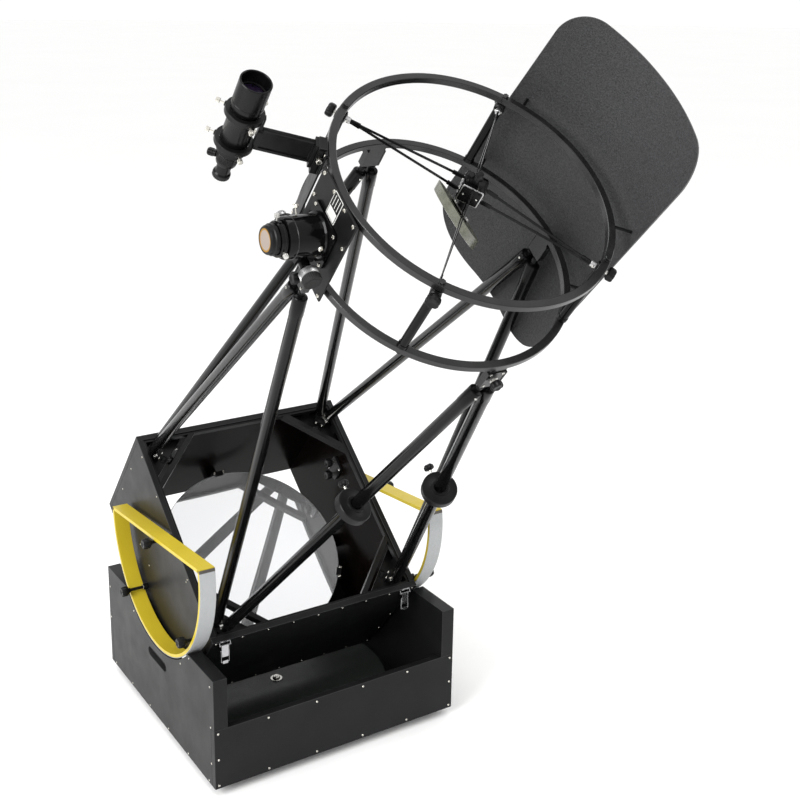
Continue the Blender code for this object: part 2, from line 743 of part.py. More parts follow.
def make_spider(materials, frame):
    """A square hub held by four pairs of thin vanes, each pair meeting at its post."""
    builder = bmesh.new()
    turn = Matrix.Rotation(radians(POST_ANGLE), 4, "Z")
    half = HUB_SIDE / 2
    add_box(builder, (-half, -half, HUB_BOTTOM), (half, half, HUB_TOP), turn)
    spider = make_object("spider", builder, materials["black_powder"], frame)
    reach = RING_MIDDLE - POST_RADIUS - GAP
    middle = (HUB_BOTTOM + HUB_TOP) / 2
    vanes = bmesh.new()
    for angle in post_angles():
        out = Vector((cos(radians(angle)), sin(radians(angle)), 0))
        end = out * (reach - VANE_BLOCK / 2) + Vector((0, 0, VANE_POST_LEVEL))
        for side in (-1, 1):
            start = out * (half - 0.008) + Vector((0, 0, middle + side * VANE_SPREAD))
            run = end - start
            place = Matrix.Translation(start) @ outward(angle)
            lean = Matrix.Rotation(asin(run.z / run.length), 4, "Y")
            low = (-VANE_DEPTH / 2, -VANE_THICK / 2, 0)
            add_box(vanes, low, (VANE_DEPTH / 2, VANE_THICK / 2, run.length), place @ lean)
        block = VANE_BLOCK / 2
        place = outward(angle, reach - VANE_BLOCK, VANE_POST_LEVEL)
        add_box(vanes, (-block, -block, 0), (block, block, VANE_BLOCK), place)
    combine(spider, "UNION", make_object("spider_vanes", vanes, None, frame))
    spider.modifiers[-1].use_self = True


def sheared_disc(builder, radius, start, end, steps=32, lean=1):
    """A disc cut by a 45 degree plane below and, unless lean is 0, above; its side stays upright."""
    lower = []
    upper = []
    for i in range(steps):
        a = 2 * pi * i / steps
        x = radius * cos(a)
        y = radius * sin(a)
        lower.append(builder.verts.new((x, y, start - x)))
        upper.append(builder.verts.new((x, y, end - lean * x)))
    builder.faces.new(lower[::-1])
    builder.faces.new(upper)
    for i in range(steps):
        j = (i + 1) % steps
        builder.faces.new((lower[i], lower[j], upper[j], upper[i]))


def make_secondary(materials, frame):
    """The 45 degree flat and its holder, both with their origin on the tilt pivot."""
    pivot = make_empty("secondary_pivot", frame, (0, 0, HUB_BOTTOM))
    front = SECONDARY_LEVEL - HUB_BOTTOM
    back = front + SECONDARY_THICK * sqrt(2)
    builder = bmesh.new()
    sheared_disc(builder, SECONDARY_RADIUS, front, back)
    make_object("secondary_mirror", builder, materials["mirror_glass"], pivot)
    plate = bmesh.new()
    seat = back + GAP * sqrt(2)
    crown = seat + HOLDER_THICK * sqrt(2)
    sheared_disc(plate, HOLDER_RADIUS, seat, crown)
    holder = make_object("secondary_holder", plate, materials["bright_steel"], pivot)
    stalk = bmesh.new()
    sheared_disc(stalk, STALK_RADIUS, (seat + crown) / 2, -PIVOT_GAP, 20, 0)
    combine(holder, "UNION", make_object("secondary_stalk", stalk, None, pivot))


def make_focuser(materials, frame):
    """The focuser looks along -X: its parts are turned so that their local Z points outwards."""
    level = SECONDARY_LEVEL
    x = -BOARD_INNER
    low = (x - FOCUS_BOARD_THICK, FOCUS_BOARD_FRONT, FOCUS_BOARD_BOTTOM)
    high = (x, FOCUS_BOARD_BACK, UPPER_RING_TOP)
    board = box_object("focuser_board", low, high, materials["black_powder"], frame)
    out = outward(180, 0, level)
    hole = cylinder_object("focuser_board_bore", DRAW_RADIUS + 0.003, 0.28, 0.32, None, frame, out)
    combine(board, "DIFFERENCE", hole)
    base = FOCUSER_BASE / 2
    start = FOCUSER_X + GAP
    builder = bmesh.new()
    add_box(builder, (-base, -base, start), (base, base, HOUSING_X))
    body = make_object("focuser_body", builder, materials["gloss_black"], frame, out)
    shell = bmesh.new()
    add_cylinder(shell, HOUSING_RADIUS, start + 0.001, HOUSING_X + HOUSING_LENGTH, 36)
    combine(body, "UNION", make_object("focuser_housing", shell, None, frame, out))
    block = bmesh.new()
    half = PINION_BLOCK
    end = PINION_X + PINION_LENGTH
    add_box(block, (-PINION_DROP - 0.009, -half, start + 0.002), (-DRAW_RADIUS, half, end))
    combine(body, "UNION", make_object("focuser_pinion_block", block, None, frame, out))
    past = HOUSING_X + HOUSING_LENGTH + 0.01
    bore = cylinder_object("focuser_bore", DRAW_RADIUS + RUNNING, 0.29, past, None, frame, out, 36)
    combine(body, "DIFFERENCE", bore)
    shaft_place = Matrix.Translation((-PINION_X, 0, level - PINION_DROP)) @ along((0, 0, 0), (0, 1, 0))
    shaft_bore = PINION_SHAFT + RUNNING
    hole = cylinder_object("focuser_shaft_bore", shaft_bore, -0.05, 0.05, None, frame, shaft_place)
    combine(body, "DIFFERENCE", hole)
    profile = [
        (DRAW_BORE, DRAW_INNER_X),
        (DRAW_RADIUS, DRAW_INNER_X),
        (DRAW_RADIUS, COLLAR_START),
        (COLLAR_RADIUS, COLLAR_START),
        (COLLAR_RADIUS, COLLAR_END),
        (DRAW_BORE, COLLAR_END),
    ]
    lathe_object("focuser_drawtube", profile, materials["gloss_black"], frame, out, 36)
    start = COLLAR_END + GAP
    neck = DRAW_BORE - GAP
    profile = [
        (0, COLLAR_END - 0.010),
        (neck, COLLAR_END - 0.010),
        (neck, start),
        (CAP_RADIUS, start),
        (CAP_RADIUS, start + CAP_LENGTH - 0.003),
        (CAP_RADIUS - 0.003, start + CAP_LENGTH),
        (0, start + CAP_LENGTH),
    ]
    lathe_object("dust_cap", profile, materials["cap_plastic"], frame, out, 32)
    make_focus_knobs(materials, frame, shaft_place)


def make_focus_knobs(materials, frame, place):
    near = KNOB_START
    far = KNOB_START + KNOB_LENGTH
    tip = far + FINE_KNOB_LENGTH
    spindle = PINION_SHAFT - RUNNING
    profile = [
        (0, -far),
        (KNOB_RADIUS, -far),
        (KNOB_RADIUS, -near),
        (PINION_SHAFT, -near),
        (PINION_SHAFT, near),
        (KNOB_RADIUS, near),
        (KNOB_RADIUS, far),
        (0, far),
    ]
    lathe_object("focus_shaft", profile, materials["knurled_knob"], frame, place)
    profile = [
        (0, far + GAP),
        (spindle, far + GAP),
        (spindle, far + 0.002),
        (FINE_KNOB_RADIUS, far + 0.002),
        (FINE_KNOB_RADIUS, tip),
        (0, tip),
    ]
    lathe_object("fine_focus_knob", profile, materials["bright_steel"], frame, place, steps=20)


def make_finder(materials, frame):
    """Mounting plate across both rings, a stalk with two rings and a straight finder tube."""
    near = BOARD_INNER
    far = near + FINDER_PLATE_THICK
    half = FINDER_PLATE_WIDTH / 2
    place = outward(FINDER_ANGLE)
    builder = bmesh.new()
    add_box(builder, (FOCUS_BOARD_BOTTOM, -half, near), (UPPER_RING_TOP, half, far), place)
    plate = make_object("finder_plate", builder, materials["black_powder"], frame)
    shoe = bmesh.new()
    wide = SHOE_WIDTH / 2
    add_box(shoe, (SHOE_BOTTOM, -wide, far - 0.002), (SHOE_TOP, wide, far + SHOE_DEPTH), place)
    combine(plate, "UNION", make_object("finder_shoe", shoe, None, frame))
    start = far + SHOE_DEPTH + GAP
    end = FINDER_AXIS - FINDER_RING_RADIUS + 0.003
    stalk = bmesh.new()
    thin = STALK_WIDTH / 2
    add_box(stalk, (STALK_BOTTOM, -thin, start), (STALK_TOP, thin, end), place)
    bracket = make_object("finder_bracket", stalk, materials["black_powder"], frame)
    spine = bmesh.new()
    bottom, top = FINDER_RING_LEVELS
    step = 0.006
    add_box(spine, (bottom, -thin + 0.001, end - step), (top, thin - 0.001, end + 0.0005), place)
    combine(bracket, "UNION", make_object("finder_spine", spine, None, frame))
    rings = bmesh.new()
    a = radians(FINDER_ANGLE)
    centre = Matrix.Translation((FINDER_AXIS * cos(a), FINDER_AXIS * sin(a), 0))
    for level in FINDER_RING_LEVELS:
        low = level - FINDER_RING_HEIGHT / 2
        high = level + FINDER_RING_HEIGHT / 2
        bore = FINDER_RING_BORE
        outer = FINDER_RING_RADIUS
        add_lathe(rings, [(bore, low), (outer, low), (outer, high), (bore, high)], ROUND, centre)
    combine(bracket, "UNION", make_object("finder_rings", rings, None, frame))
    lathe_object("finder_tube", finder_profile(), materials["black_anodised"], frame, centre, 28)


def finder_profile():
    """Eyepiece at the bottom, a stepped body through the rings and an open hood on top."""
    low = FINDER_BOTTOM
    high = FINDER_TOP
    return [
        (0, low),
        (0.0150, low),
        (0.0165, low + 0.012),
        (0.0140, low + 0.016),
        (0.0140, low + 0.034),
        (0.0200, low + 0.038),
        (0.0200, low + 0.062),
        (0.0275, low + 0.068),
        (0.0275, high - 0.062),
        (0.0300, high - 0.058),
        (0.0300, high),
        (0.0265, high),
        (0.0265, high - 0.030),
        (0.0250, high - 0.032),
        (0.0250, high - 0.140),
        (0, high - 0.140),
    ]


def shield_columns():
    """Angles across the sheet with its lower and upper edge, rounded at the four corners."""
    widest = max(SHIELD_TOP_CORNER, SHIELD_BOTTOM_CORNER)
    flat = SHIELD_HALF_ANGLE - degrees(widest / SHIELD_RADIUS)
    angles = []
    for i in range(CORNER_STEPS + 1):
        share = 1 - (i / CORNER_STEPS) ** 1.6
        angles.append(flat + (SHIELD_HALF_ANGLE - flat) * share)
    angles += [flat * (1 - 2 * i / SHIELD_STEPS) for i in range(1, SHIELD_STEPS)]
    angles += [-angle for angle in reversed(angles[: CORNER_STEPS + 1])]
    columns = []
    for angle in angles:
        gap = radians(SHIELD_HALF_ANGLE - abs(angle)) * SHIELD_RADIUS
        cuts = []
        for corner in (SHIELD_BOTTOM_CORNER, SHIELD_TOP_CORNER):
            inside = max(corner - gap, 0)
            cuts.append(corner - sqrt(max(corner**2 - inside**2, 0)))
        columns.append((angle, SHIELD_BOTTOM + cuts[0], SHIELD_TOP - cuts[1]))
    return columns


def shield_matrix():
    """From the sheet's own cylinder to the tube: it leans outwards and sits slightly askew."""
    hinge = Vector((SHIELD_RADIUS, 0, LOWER_RING_TOP))
    lean = Matrix.Translation(hinge) @ Matrix.Rotation(radians(SHIELD_LEAN), 4, "Y")
    lean = Matrix.Translation((SHIELD_OFFSET, 0, 0)) @ lean @ Matrix.Translation(-hinge)
    shift = Matrix.Rotation(radians(SHIELD_SHIFT), 4, "Z")
    pivot = Matrix.Translation((0, 0, SHIELD_SKEW_LEVEL))
    skew = pivot @ Matrix.Rotation(radians(SHIELD_SKEW), 4, "X") @ pivot.inverted()
    return skew @ shift @ lean


def shield_fixing(angle, level):
    """The point of the sheet, midway in its thickness, that lies at one height on the optical axis."""
    matrix = shield_matrix()
    middle = SHIELD_RADIUS + SHIELD_THICK / 2
    a = radians(angle)
    own = level
    for _ in range(4):
        point = matrix @ Vector((middle * cos(a), middle * sin(a), own))
        own += level - point.z
    return point


def make_shield(materials, frame):
    """A curved sheet held off both rings by four pins."""
    matrix = shield_matrix()
    builder = bmesh.new()
    sections = []
    for angle, low, high in shield_columns():
        a = radians(angle)
        section = []
        for radius, level in (
            (SHIELD_RADIUS, low),
            (SHIELD_RADIUS + SHIELD_THICK, low),
            (SHIELD_RADIUS + SHIELD_THICK, high),
            (SHIELD_RADIUS, high),
        ):
            point = matrix @ Vector((radius * cos(a), radius * sin(a), level))
            section.append(builder.verts.new(point))
        sections.append(section)
    builder.faces.new(sections[0])
    builder.faces.new(sections[-1][::-1])
    for first, second in zip(sections, sections[1:]):
        for i in range(4):
            j = (i + 1) % 4
            builder.faces.new((first[i], first[j], second[j], second[i]))
    sheet = make_object("light_shield", builder, materials["grain_plastic"], frame)
    pins = bmesh.new()
    start = RING_RADIUS + GAP
    for angle in (-SHIELD_PIN_ANGLE, SHIELD_PIN_ANGLE):
        for top in (LOWER_RING_TOP, UPPER_RING_TOP):
            level = top - RING_HEIGHT / 2
            point = shield_fixing(angle, level)
            end = hypot(point.x, point.y)
            place = outward(degrees(atan2(point.y, point.x)), 0, level)
            add_cylinder(pins, SHIELD_PIN_RADIUS, start, end, 14, place)
    combine(sheet, "UNION", make_object("light_shield_pins", pins, None, frame))


def make_counterweights(materials, frame):
    """Discs that slide on the two front poles, each locked by a knob that points to the back."""
    ends = pole_ends()
    front_poles = (ends[6], ends[7])
    bore = POLE_RADIUS + RUNNING
    half = WEIGHT_HEIGHT / 2
    for number, ((foot, top), place) in enumerate(zip(front_poles, WEIGHT_PLACES), 1):
        centre = top + (foot - top) * place
        matrix = along(centre, top - foot)
        profile = [(bore, -half), (WEIGHT_RADIUS, -half), (WEIGHT_RADIUS, half), (bore, half)]
        name = f"counterweight_{number}"
        lathe_object(name, profile, materials["black_powder"], frame, matrix, 32)
        axis = (top - foot).normalized()
        back = (Vector((0, 1, 0)) - axis * axis.y).normalized()
        start = WEIGHT_RADIUS + GAP
        neck = start + WEIGHT_STEM_LENGTH
        tip = neck + WEIGHT_KNOB_LENGTH
        profile = [
            (0, start),
            (WEIGHT_STEM_RADIUS, start),
            (WEIGHT_STEM_RADIUS, neck),
            (WEIGHT_KNOB_RADIUS, neck),
            (WEIGHT_KNOB_RADIUS, tip),
            (0, tip),
        ]
        knob = f"counterweight_knob_{number}"
        lathe_object(knob, profile, materials["black_plastic"], frame, along(centre, back), 16)


def make_latches(materials, frame):
    """Toggle levers that hang from hinges on the front wall, plumb while the tube leans."""
    half = LATCH_WIDTH / 2
    thin = LATCH_THICK / 2
    plumb = Matrix.Rotation(radians(-TILT), 4, "X")
    for name, side in (("latch_left", -1), ("latch_right", 1)):
        hinge = Matrix.Translation((side * LATCH_X, -BOX_HALF_Y - LATCH_HINGE, LATCH_TOP))
        builder = bmesh.new()
        outline = [(-thin, -LATCH_LENGTH + thin), (-thin, 0)]
        outline += [(-thin * cos(radians(a)), thin * sin(radians(a))) for a in range(30, 180, 30)]
        outline += [(thin, 0), (thin, -LATCH_LENGTH)]
        turned = Matrix(((0, 0, 1, 0), (1, 0, 0, 0), (0, 1, 0, 0), (0, 0, 0, 1)))
        add_prism(builder, outline, -half, half, turned)
        make_object(name, builder, materials["chrome"], frame, hinge @ plumb)


def centre_on_base(roots):
    """Moves the whole telescope so that the origin is the middle of its footprint on the floor."""
    bpy.context.view_layer.update()
    graph = bpy.context.evaluated_depsgraph_get()
    lows = [float("inf")] * 2
    highs = [float("-inf")] * 2
    for obj in bpy.data.objects:
        if obj.type != "MESH" or obj.hide_render:
            continue
        world = obj.matrix_world
        for vertex in obj.evaluated_get(graph).data.vertices:
            point = world @ vertex.co
            for i in range(2):
                lows[i] = min(lows[i], point[i])
                highs[i] = max(highs[i], point[i])
    shift = Vector([-(low + high) / 2 for low, high in zip(lows, highs)] + [0])
    for root in roots:
        root.location += shift


def main():
    clear_scene()
    materials = make_materials()
    ground = make_empty("ground_frame")
    make_ground(materials, ground)
    rocker = make_empty("azimuth_axis", None, (0, 0, ROCKER_BOTTOM))
    make_rocker(materials, rocker)
    tube = make_empty("altitude_axis", rocker, (0, 0, AXIS_HEIGHT), (radians(TILT), 0, 0))
    make_bearings(materials, tube)
    make_mirror_box(materials, tube)
    make_mirror(materials, tube)
    make_truss(materials, tube)
    make_rings(materials, tube)
    make_spider(materials, tube)
    make_secondary(materials, tube)
    make_focuser(materials, tube)
    make_finder(materials, tube)
    make_shield(materials, tube)
    make_counterweights(materials, tube)
    make_latches(materials, tube)
    centre_on_base((ground, rocker))


main()
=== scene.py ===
"""The look of the truss telescope around its CAD frame: pieces, materials, floor, light and camera."""

import json
from math import asin, atan2, cos, degrees, pi, radians, sin, sqrt

import bmesh
import bpy
from mathutils import Matrix, Vector


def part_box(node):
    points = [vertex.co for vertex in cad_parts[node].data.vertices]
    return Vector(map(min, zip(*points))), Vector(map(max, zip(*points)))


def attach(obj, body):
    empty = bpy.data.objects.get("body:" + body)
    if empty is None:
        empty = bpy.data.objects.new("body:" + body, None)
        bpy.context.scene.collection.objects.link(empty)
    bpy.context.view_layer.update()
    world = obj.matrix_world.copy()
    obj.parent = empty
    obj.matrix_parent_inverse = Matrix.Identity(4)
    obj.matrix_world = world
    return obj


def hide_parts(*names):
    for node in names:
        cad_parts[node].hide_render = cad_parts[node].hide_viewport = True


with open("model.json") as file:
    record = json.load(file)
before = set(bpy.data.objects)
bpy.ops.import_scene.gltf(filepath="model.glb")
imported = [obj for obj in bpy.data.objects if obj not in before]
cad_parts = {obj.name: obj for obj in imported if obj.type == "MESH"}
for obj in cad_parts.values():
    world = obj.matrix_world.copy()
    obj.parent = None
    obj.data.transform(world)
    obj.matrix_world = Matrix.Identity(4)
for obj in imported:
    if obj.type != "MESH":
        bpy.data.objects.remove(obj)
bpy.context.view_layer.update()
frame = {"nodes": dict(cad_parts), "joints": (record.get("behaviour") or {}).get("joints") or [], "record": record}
JOINTS = {joint["name"]: joint for joint in frame["joints"]}
BODY_OF = {
    node: body
    for body, nodes in frame["record"]["behaviour"]["bodies"].items()
    for node in nodes
}
SLOT_OF = {part["node"]: part["material_slot"] for part in frame["record"]["subparts"]}

# Driving sizes that the pieces share with the CAD model, in metres and degrees
TILT = 40
OPENING = 0.0218
BOX_HALF_X = 0.2963
BOX_HALF_Y = 0.299
WALL = 0.015
INNER_X = BOX_HALF_X - WALL
INNER_Y = BOX_HALF_Y - WALL
BEARING_RADIUS = 0.2868
BEARING_X = (0.3035, 0.3445)
RIM_OUTER = BEARING_RADIUS - 0.0015
RIM_THICK = 0.008
CHORD_THICK = 0.009
CHORD_ANGLE = 134.5
CHORD_EXTRA_ANGLE = 4.2
CHORD_RISE = RIM_OUTER * sin(radians(CHORD_EXTRA_ANGLE))
KNOB_PLACES = ((0.266, 180), (0.266, 270), (CHORD_RISE - 0.016, 44.5))
RING_RADIUS = 0.2955
RING_WIDTH = 0.016
RING_HEIGHT = 0.0146
RING_MIDDLE = RING_RADIUS - RING_WIDTH / 2
LOWER_RING_TOP = 1.1272
UPPER_RING_TOP = 1.3165
POST_ANGLES = (131.5, 48.5, -48.5, -131.5)
MIRROR_RADIUS = 0.254
MIRROR_RIM = -0.213
MIRROR_THICK = 0.05
FOCAL_LENGTH = 1.826
POLE_RADIUS = 0.014
POLE_TOP = 1.054
POLE_FOOT = -0.0088
POLE_TOP_CIRCLE = 0.2875
POLE_TOP_SPREAD = 0.0103
POLE_FOOT_NEAR = 0.2543
POLE_FOOT_FAR = 0.266
FOCUS_LEVEL = 1.2086
PINION_X = 0.332
PINION_DROP = 0.043
HUB_BOTTOM = 1.276
HUB_TOP = 1.318
FINDER_ANGLE = 157
FINDER_AXIS = 0.462
FINDER_LEVELS = (1.2756, 1.3485)
FINDER_BOTTOM = 1.183
FINDER_TOP = 1.423
SHIELD_RADIUS = 0.34
SHIELD_OFFSET = -0.018
SHIELD_LEAN = 3.0
SHIELD_SHIFT = 7.1
SHIELD_SKEW = 2.6
SHIELD_SKEW_LEVEL = 1.2
SHIELD_THICK = 0.0025
SHIELD_HALF_ANGLE = 38.5
SHIELD_BOTTOM = 0.843
SHIELD_TOP = 1.543
SHIELD_TOP_CORNER = 0.076
SHIELD_BOTTOM_CORNER = 0.16
SHIELD_PIN_ANGLE = 33
WEIGHT_PLACES = (0.432, 0.452)
ROCKER_HALF_X = 0.345
ROCKER_HALF_Y = 0.3465
ROCKER_AXIS_HEIGHT = 0.4993
VANE_LEVEL = 1.289
SECONDARY_RADIUS = 0.0635
SECONDARY_THICK = 0.018
LENS_RADIUS = 0.0256
BOARD_FACE = 0.3002
LATCH_X = 0.262
LATCH_TOP = 0.006



def turned(angle, axis):
    return Matrix.Rotation(radians(angle), 4, axis)


def moved(offset):
    return Matrix.Translation(offset)


def polar(radius, angle, level=0.0):
    """A point at an angle in degrees round Z."""
    a = radians(angle)
    return Vector((radius * cos(a), radius * sin(a), level))


AXIS = Vector(JOINTS["altitude"]["pos_m"])
PANEL_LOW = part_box("rocker_side_left")[0].z
CENTRE = Vector((AXIS.x, AXIS.y, 0))
TUBE = moved(AXIS) @ turned(TILT, "X")
ROCKER = moved((AXIS.x, AXIS.y, PANEL_LOW))


# Materials


class Surface:
    """A Principled material with noise in its colour and roughness, and relief from its own pattern."""

    def __init__(self, name, colour, roughness, metallic=0.0):
        self.material = bpy.data.materials.new(name)
        self.material.use_nodes = True
        self.tree = self.material.node_tree
        self.shader = self.tree.nodes["Principled BSDF"]
        self.colour = colour
        self.roughness = roughness
        self.set("Metallic", metallic).set("Roughness", roughness).set("Base Color", (*colour, 1))
        self.place = self.tree.nodes.new("ShaderNodeTexCoord").outputs["Object"]
        self.normal = None

    def set(self, name, value):
        self.shader.inputs[name].default_value = value
        return self

    def node(self, kind, **values):
        """A node with its inputs given by name, as constants or as the sockets to link."""
        node = self.tree.nodes.new(kind)
        for name, value in values.items():
            socket = node.inputs[name.replace("_", " ")]
            if isinstance(value, bpy.types.NodeSocket):
                self.tree.links.new(value, socket)
            else:
                socket.default_value = value
        return node

    def drive(self, name, output):
        self.tree.links.new(output, self.shader.inputs[name])
        return self

    def stretched(self, scale):
        return self.node("ShaderNodeMapping", Scale=scale, Vector=self.place).outputs["Vector"]

    def noise(self, scale, detail=3, rough=0.55, vector=None):
        place = vector or self.place
        noise = self.node("ShaderNodeTexNoise", Scale=scale, Detail=detail, Roughness=rough, Vector=place)
        return noise.outputs["Fac"]

    def cells(self, scale):
        cells = self.node("ShaderNodeTexVoronoi", Scale=scale, Vector=self.place)
        cells.feature = "SMOOTH_F1"
        return cells.outputs["Distance"]

    def mottle(self, other, scale, low=0.35, high=0.68, source=None):
        """Blends a second colour in where the noise is high."""
        ramp = self.node("ShaderNodeValToRGB", Fac=source or self.noise(scale))
        for stop, place, colour in zip(ramp.color_ramp.elements, (low, high), (self.colour, other)):
            stop.position = place
            stop.color = (*colour, 1)
        return self.drive("Base Color", ramp.outputs["Color"])

    def uneven(self, spread, scale):
        """Spreads the roughness about its mean."""
        least = max(self.roughness - spread, 0.01)
        most = self.roughness + spread
        noise = self.noise(scale)
        span = self.node(
            "ShaderNodeMapRange", Value=noise, From_Min=0.3, From_Max=0.7, To_Min=least, To_Max=most
        )
        return self.drive("Roughness", span.outputs["Result"])

    def relief(self, height, strength, depth):
        bump = self.node("ShaderNodeBump", Strength=strength, Distance=depth, Height=height)
        if self.normal:
            self.tree.links.new(self.normal, bump.inputs["Normal"])
        self.normal = bump.outputs["Normal"]
        return self.drive("Normal", self.normal)

    def sheen_level(self, level):
        return self.set("Specular IOR Level", level)

    def coat(self, weight, roughness):
        return self.set("Coat Weight", weight).set("Coat Roughness", roughness)


def laminate(name, colour, other, roughness, sheen=0.15):
    made = Surface(name, colour, roughness).mottle(other, 9).sheen_level(sheen)
    made.uneven(0.05, 14)
    return made.relief(made.noise(700, 2), 0.05, 0.0004).material


def anodised(name, colour, other, roughness, sheen=0.16, spread=0.05, grain=(0.04, 0.0002)):
    made = Surface(name, colour, roughness).mottle(other, 22).sheen_level(sheen)
    made.uneven(spread, 45)
    return made.relief(made.noise(900, 2), *grain).material


def make_paint():
    made = Surface("bearing_yellow", (0.5, 0.385, 0.02), 0.42).sheen_level(0.3)
    made.mottle((0.455, 0.345, 0.016), 11, 0.3, 0.75)
    made.uneven(0.06, 30)
    made.relief(made.noise(420, 2), 0.1, 0.0005)
    return made.coat(0.15, 0.25).material


def make_facing():
    made = Surface("bearing_facing_laminate", (0.26, 0.27, 0.275), 0.5)
    fine = made.noise(900, 4, 0.7)
    made.mottle((0.46, 0.47, 0.475), 0, 0.38, 0.62, source=fine)
    made.uneven(0.1, 300)
    return made.relief(made.cells(620), 0.5, 0.0006).material


def make_grain_sheet():
    made = Surface("shield_grain", (0.014, 0.014, 0.0145), 0.5).sheen_level(0.25)
    pebbles = made.cells(330)
    made.mottle((0.044, 0.044, 0.046), 0, 0.3, 0.72, source=made.noise(300, 3, 0.6))
    made.uneven(0.08, 120)
    made.relief(pebbles, 0.75, 0.0012)
    return made.relief(made.noise(900, 2), 0.25, 0.0004).material


def make_disc():
    made = Surface("azimuth_laminate", (0.026, 0.03, 0.027), 0.36).sheen_level(0.3)
    made.mottle((0.05, 0.056, 0.052), 260, 0.35, 0.7)
    made.uneven(0.05, 40)
    return made.relief(made.cells(420), 0.35, 0.0005).material


def make_mirror():
    made = Surface("mirror_coating", (0.955, 0.955, 0.965), 0.012, 0.8)
    return made.mottle((0.94, 0.945, 0.96), 3).material


def make_glass_edge(name, colour, other):
    made = Surface(name, colour, 0.3)
    made.mottle(other, 60)
    made.uneven(0.08, 200)
    return made.relief(made.noise(1200, 3), 0.2, 0.0004).coat(0.3, 0.25).material


def make_steel(name, colour, roughness, scratch=0.15):
    made = Surface(name, colour, roughness, 1.0)
    other = tuple(0.8 * c for c in colour)
    made.mottle(other, 70)
    made.uneven(0.06, 120)
    return made.relief(made.noise(1800, 2, vector=made.stretched((1, 1, 0.15))), scratch, 0.0003).material


def make_lens():
    made = Surface("coated_lens", (0.012, 0.01, 0.028), 0.03)
    made.mottle((0.035, 0.015, 0.05), 25)
    return made.coat(1.0, 0.02).material


def make_floor_paint():
    made = Surface("studio_floor", (0.955, 0.955, 0.95), 0.7)
    return made.mottle((0.94, 0.94, 0.935), 0.6).material


MAT = {
    "laminate": laminate("black_laminate", (0.0065, 0.0065, 0.007), (0.009, 0.009, 0.0096), 0.36),
    "edge": laminate("laminate_edge", (0.022, 0.022, 0.023), (0.034, 0.034, 0.035), 0.42),
    "inside": laminate("box_lining", (0.0022, 0.0015, 0.0012), (0.0036, 0.0024, 0.0019), 0.22, 0.03),
    "yellow": make_paint(),
    "facing": make_facing(),
    "facing_end": laminate("facing_core", (0.06, 0.055, 0.05), (0.11, 0.1, 0.09), 0.6),
    "powder": anodised("black_powder_coat", (0.0035, 0.0035, 0.0036), (0.007, 0.007, 0.0072), 0.34),
    "black": anodised("black_anodised", (0.0018, 0.0018, 0.0019), (0.0036, 0.0036, 0.0038), 0.26),
    "ring": anodised(
        "ring_anodised",
        (0.006, 0.006, 0.0063),
        (0.012, 0.012, 0.0125),
        0.24,
        sheen=0.42,
        spread=0.02,
        grain=(0.015, 0.0001),
    ),
    "pole": anodised(
        "pole_anodised",
        (0.0022, 0.0022, 0.0024),
        (0.0034, 0.0034, 0.0036),
        0.15,
        sheen=0.11,
        spread=0.015,
        grain=(0.012, 0.0001),
    ),
    "gloss": anodised("gloss_enamel", (0.002, 0.002, 0.0022), (0.004, 0.0036, 0.0036), 0.08),
    "knob": anodised("moulded_knob", (0.0035, 0.0035, 0.0037), (0.0075, 0.0075, 0.0078), 0.36),
    "rubber": anodised("grip_rubber", (0.014, 0.014, 0.014), (0.025, 0.025, 0.025), 0.62),
    "shield": make_grain_sheet(),
    "shield_edge": anodised("shield_edge", (0.07, 0.07, 0.07), (0.11, 0.11, 0.11), 0.45),
    "disc": make_disc(),
    "mirror": make_mirror(),
    "glass": make_glass_edge("mirror_glass_edge", (0.24, 0.25, 0.24), (0.36, 0.37, 0.36)),
    "green_glass": make_glass_edge("secondary_edge", (0.085, 0.088, 0.064), (0.125, 0.128, 0.095)),
    "bevel_line": make_glass_edge("mirror_chamfer", (0.62, 0.63, 0.63), (0.74, 0.75, 0.75)),
    "steel": make_steel("bright_steel", (0.62, 0.61, 0.58), 0.24),
    "screw": make_steel("screw_zinc", (0.7, 0.68, 0.62), 0.22),
    "chrome": make_steel("latch_chrome", (0.46, 0.46, 0.47), 0.14, 0.1),
    "brushed": make_steel("brushed_aluminium", (0.6, 0.6, 0.6), 0.34, 0.35),
    "ribbed": make_steel("knob_aluminium", (0.42, 0.42, 0.42), 0.36, 0.3),
    "amber": laminate("cap_amber", (0.27, 0.135, 0.01), (0.22, 0.105, 0.008), 0.3),
    "cream": laminate("cap_cream", (0.26, 0.215, 0.185), (0.22, 0.18, 0.155), 0.35),
    "plate": laminate("label_white", (0.62, 0.62, 0.6), (0.52, 0.52, 0.5), 0.32),
    "nylon": laminate("foot_nylon", (0.7, 0.67, 0.57), (0.58, 0.55, 0.46), 0.5),
    "pad": laminate("slide_pad", (0.8, 0.8, 0.77), (0.7, 0.7, 0.67), 0.45),
    "lens": make_lens(),
}


# Mesh builders: each adds closed solids to a bmesh


def loft(bm, sections, mats=0, closed=False, caps=True, at=Matrix()):
    """Joins rings of points with quads. mats is one index, or one for each band and then the two caps."""
    bands = len(sections) if closed else len(sections) - 1
    if isinstance(mats, int):
        mats = [mats] * (bands + 2)
    made = []
    for ring in sections:
        points = [tuple(p) for p in ring]
        shared = len(set(points)) == 1
        if shared:
            made.append([bm.verts.new(at @ Vector(points[0]))] * len(points))
        else:
            made.append([bm.verts.new(at @ Vector(p)) for p in points])
    count = len(made[0])
    for band in range(bands):
        lower = made[band]
        upper = made[(band + 1) % len(made)]
        for i in range(count):
            j = (i + 1) % count
            corners = list(dict.fromkeys((lower[i], lower[j], upper[j], upper[i])))
            if len(corners) > 2:
                bm.faces.new(corners).material_index = mats[band]
    if caps and not closed:
        for ring, index in ((made[0], mats[-2]), (made[-1], mats[-1])):
            if ring[0] is not ring[1]:
                bm.faces.new(ring).material_index = index


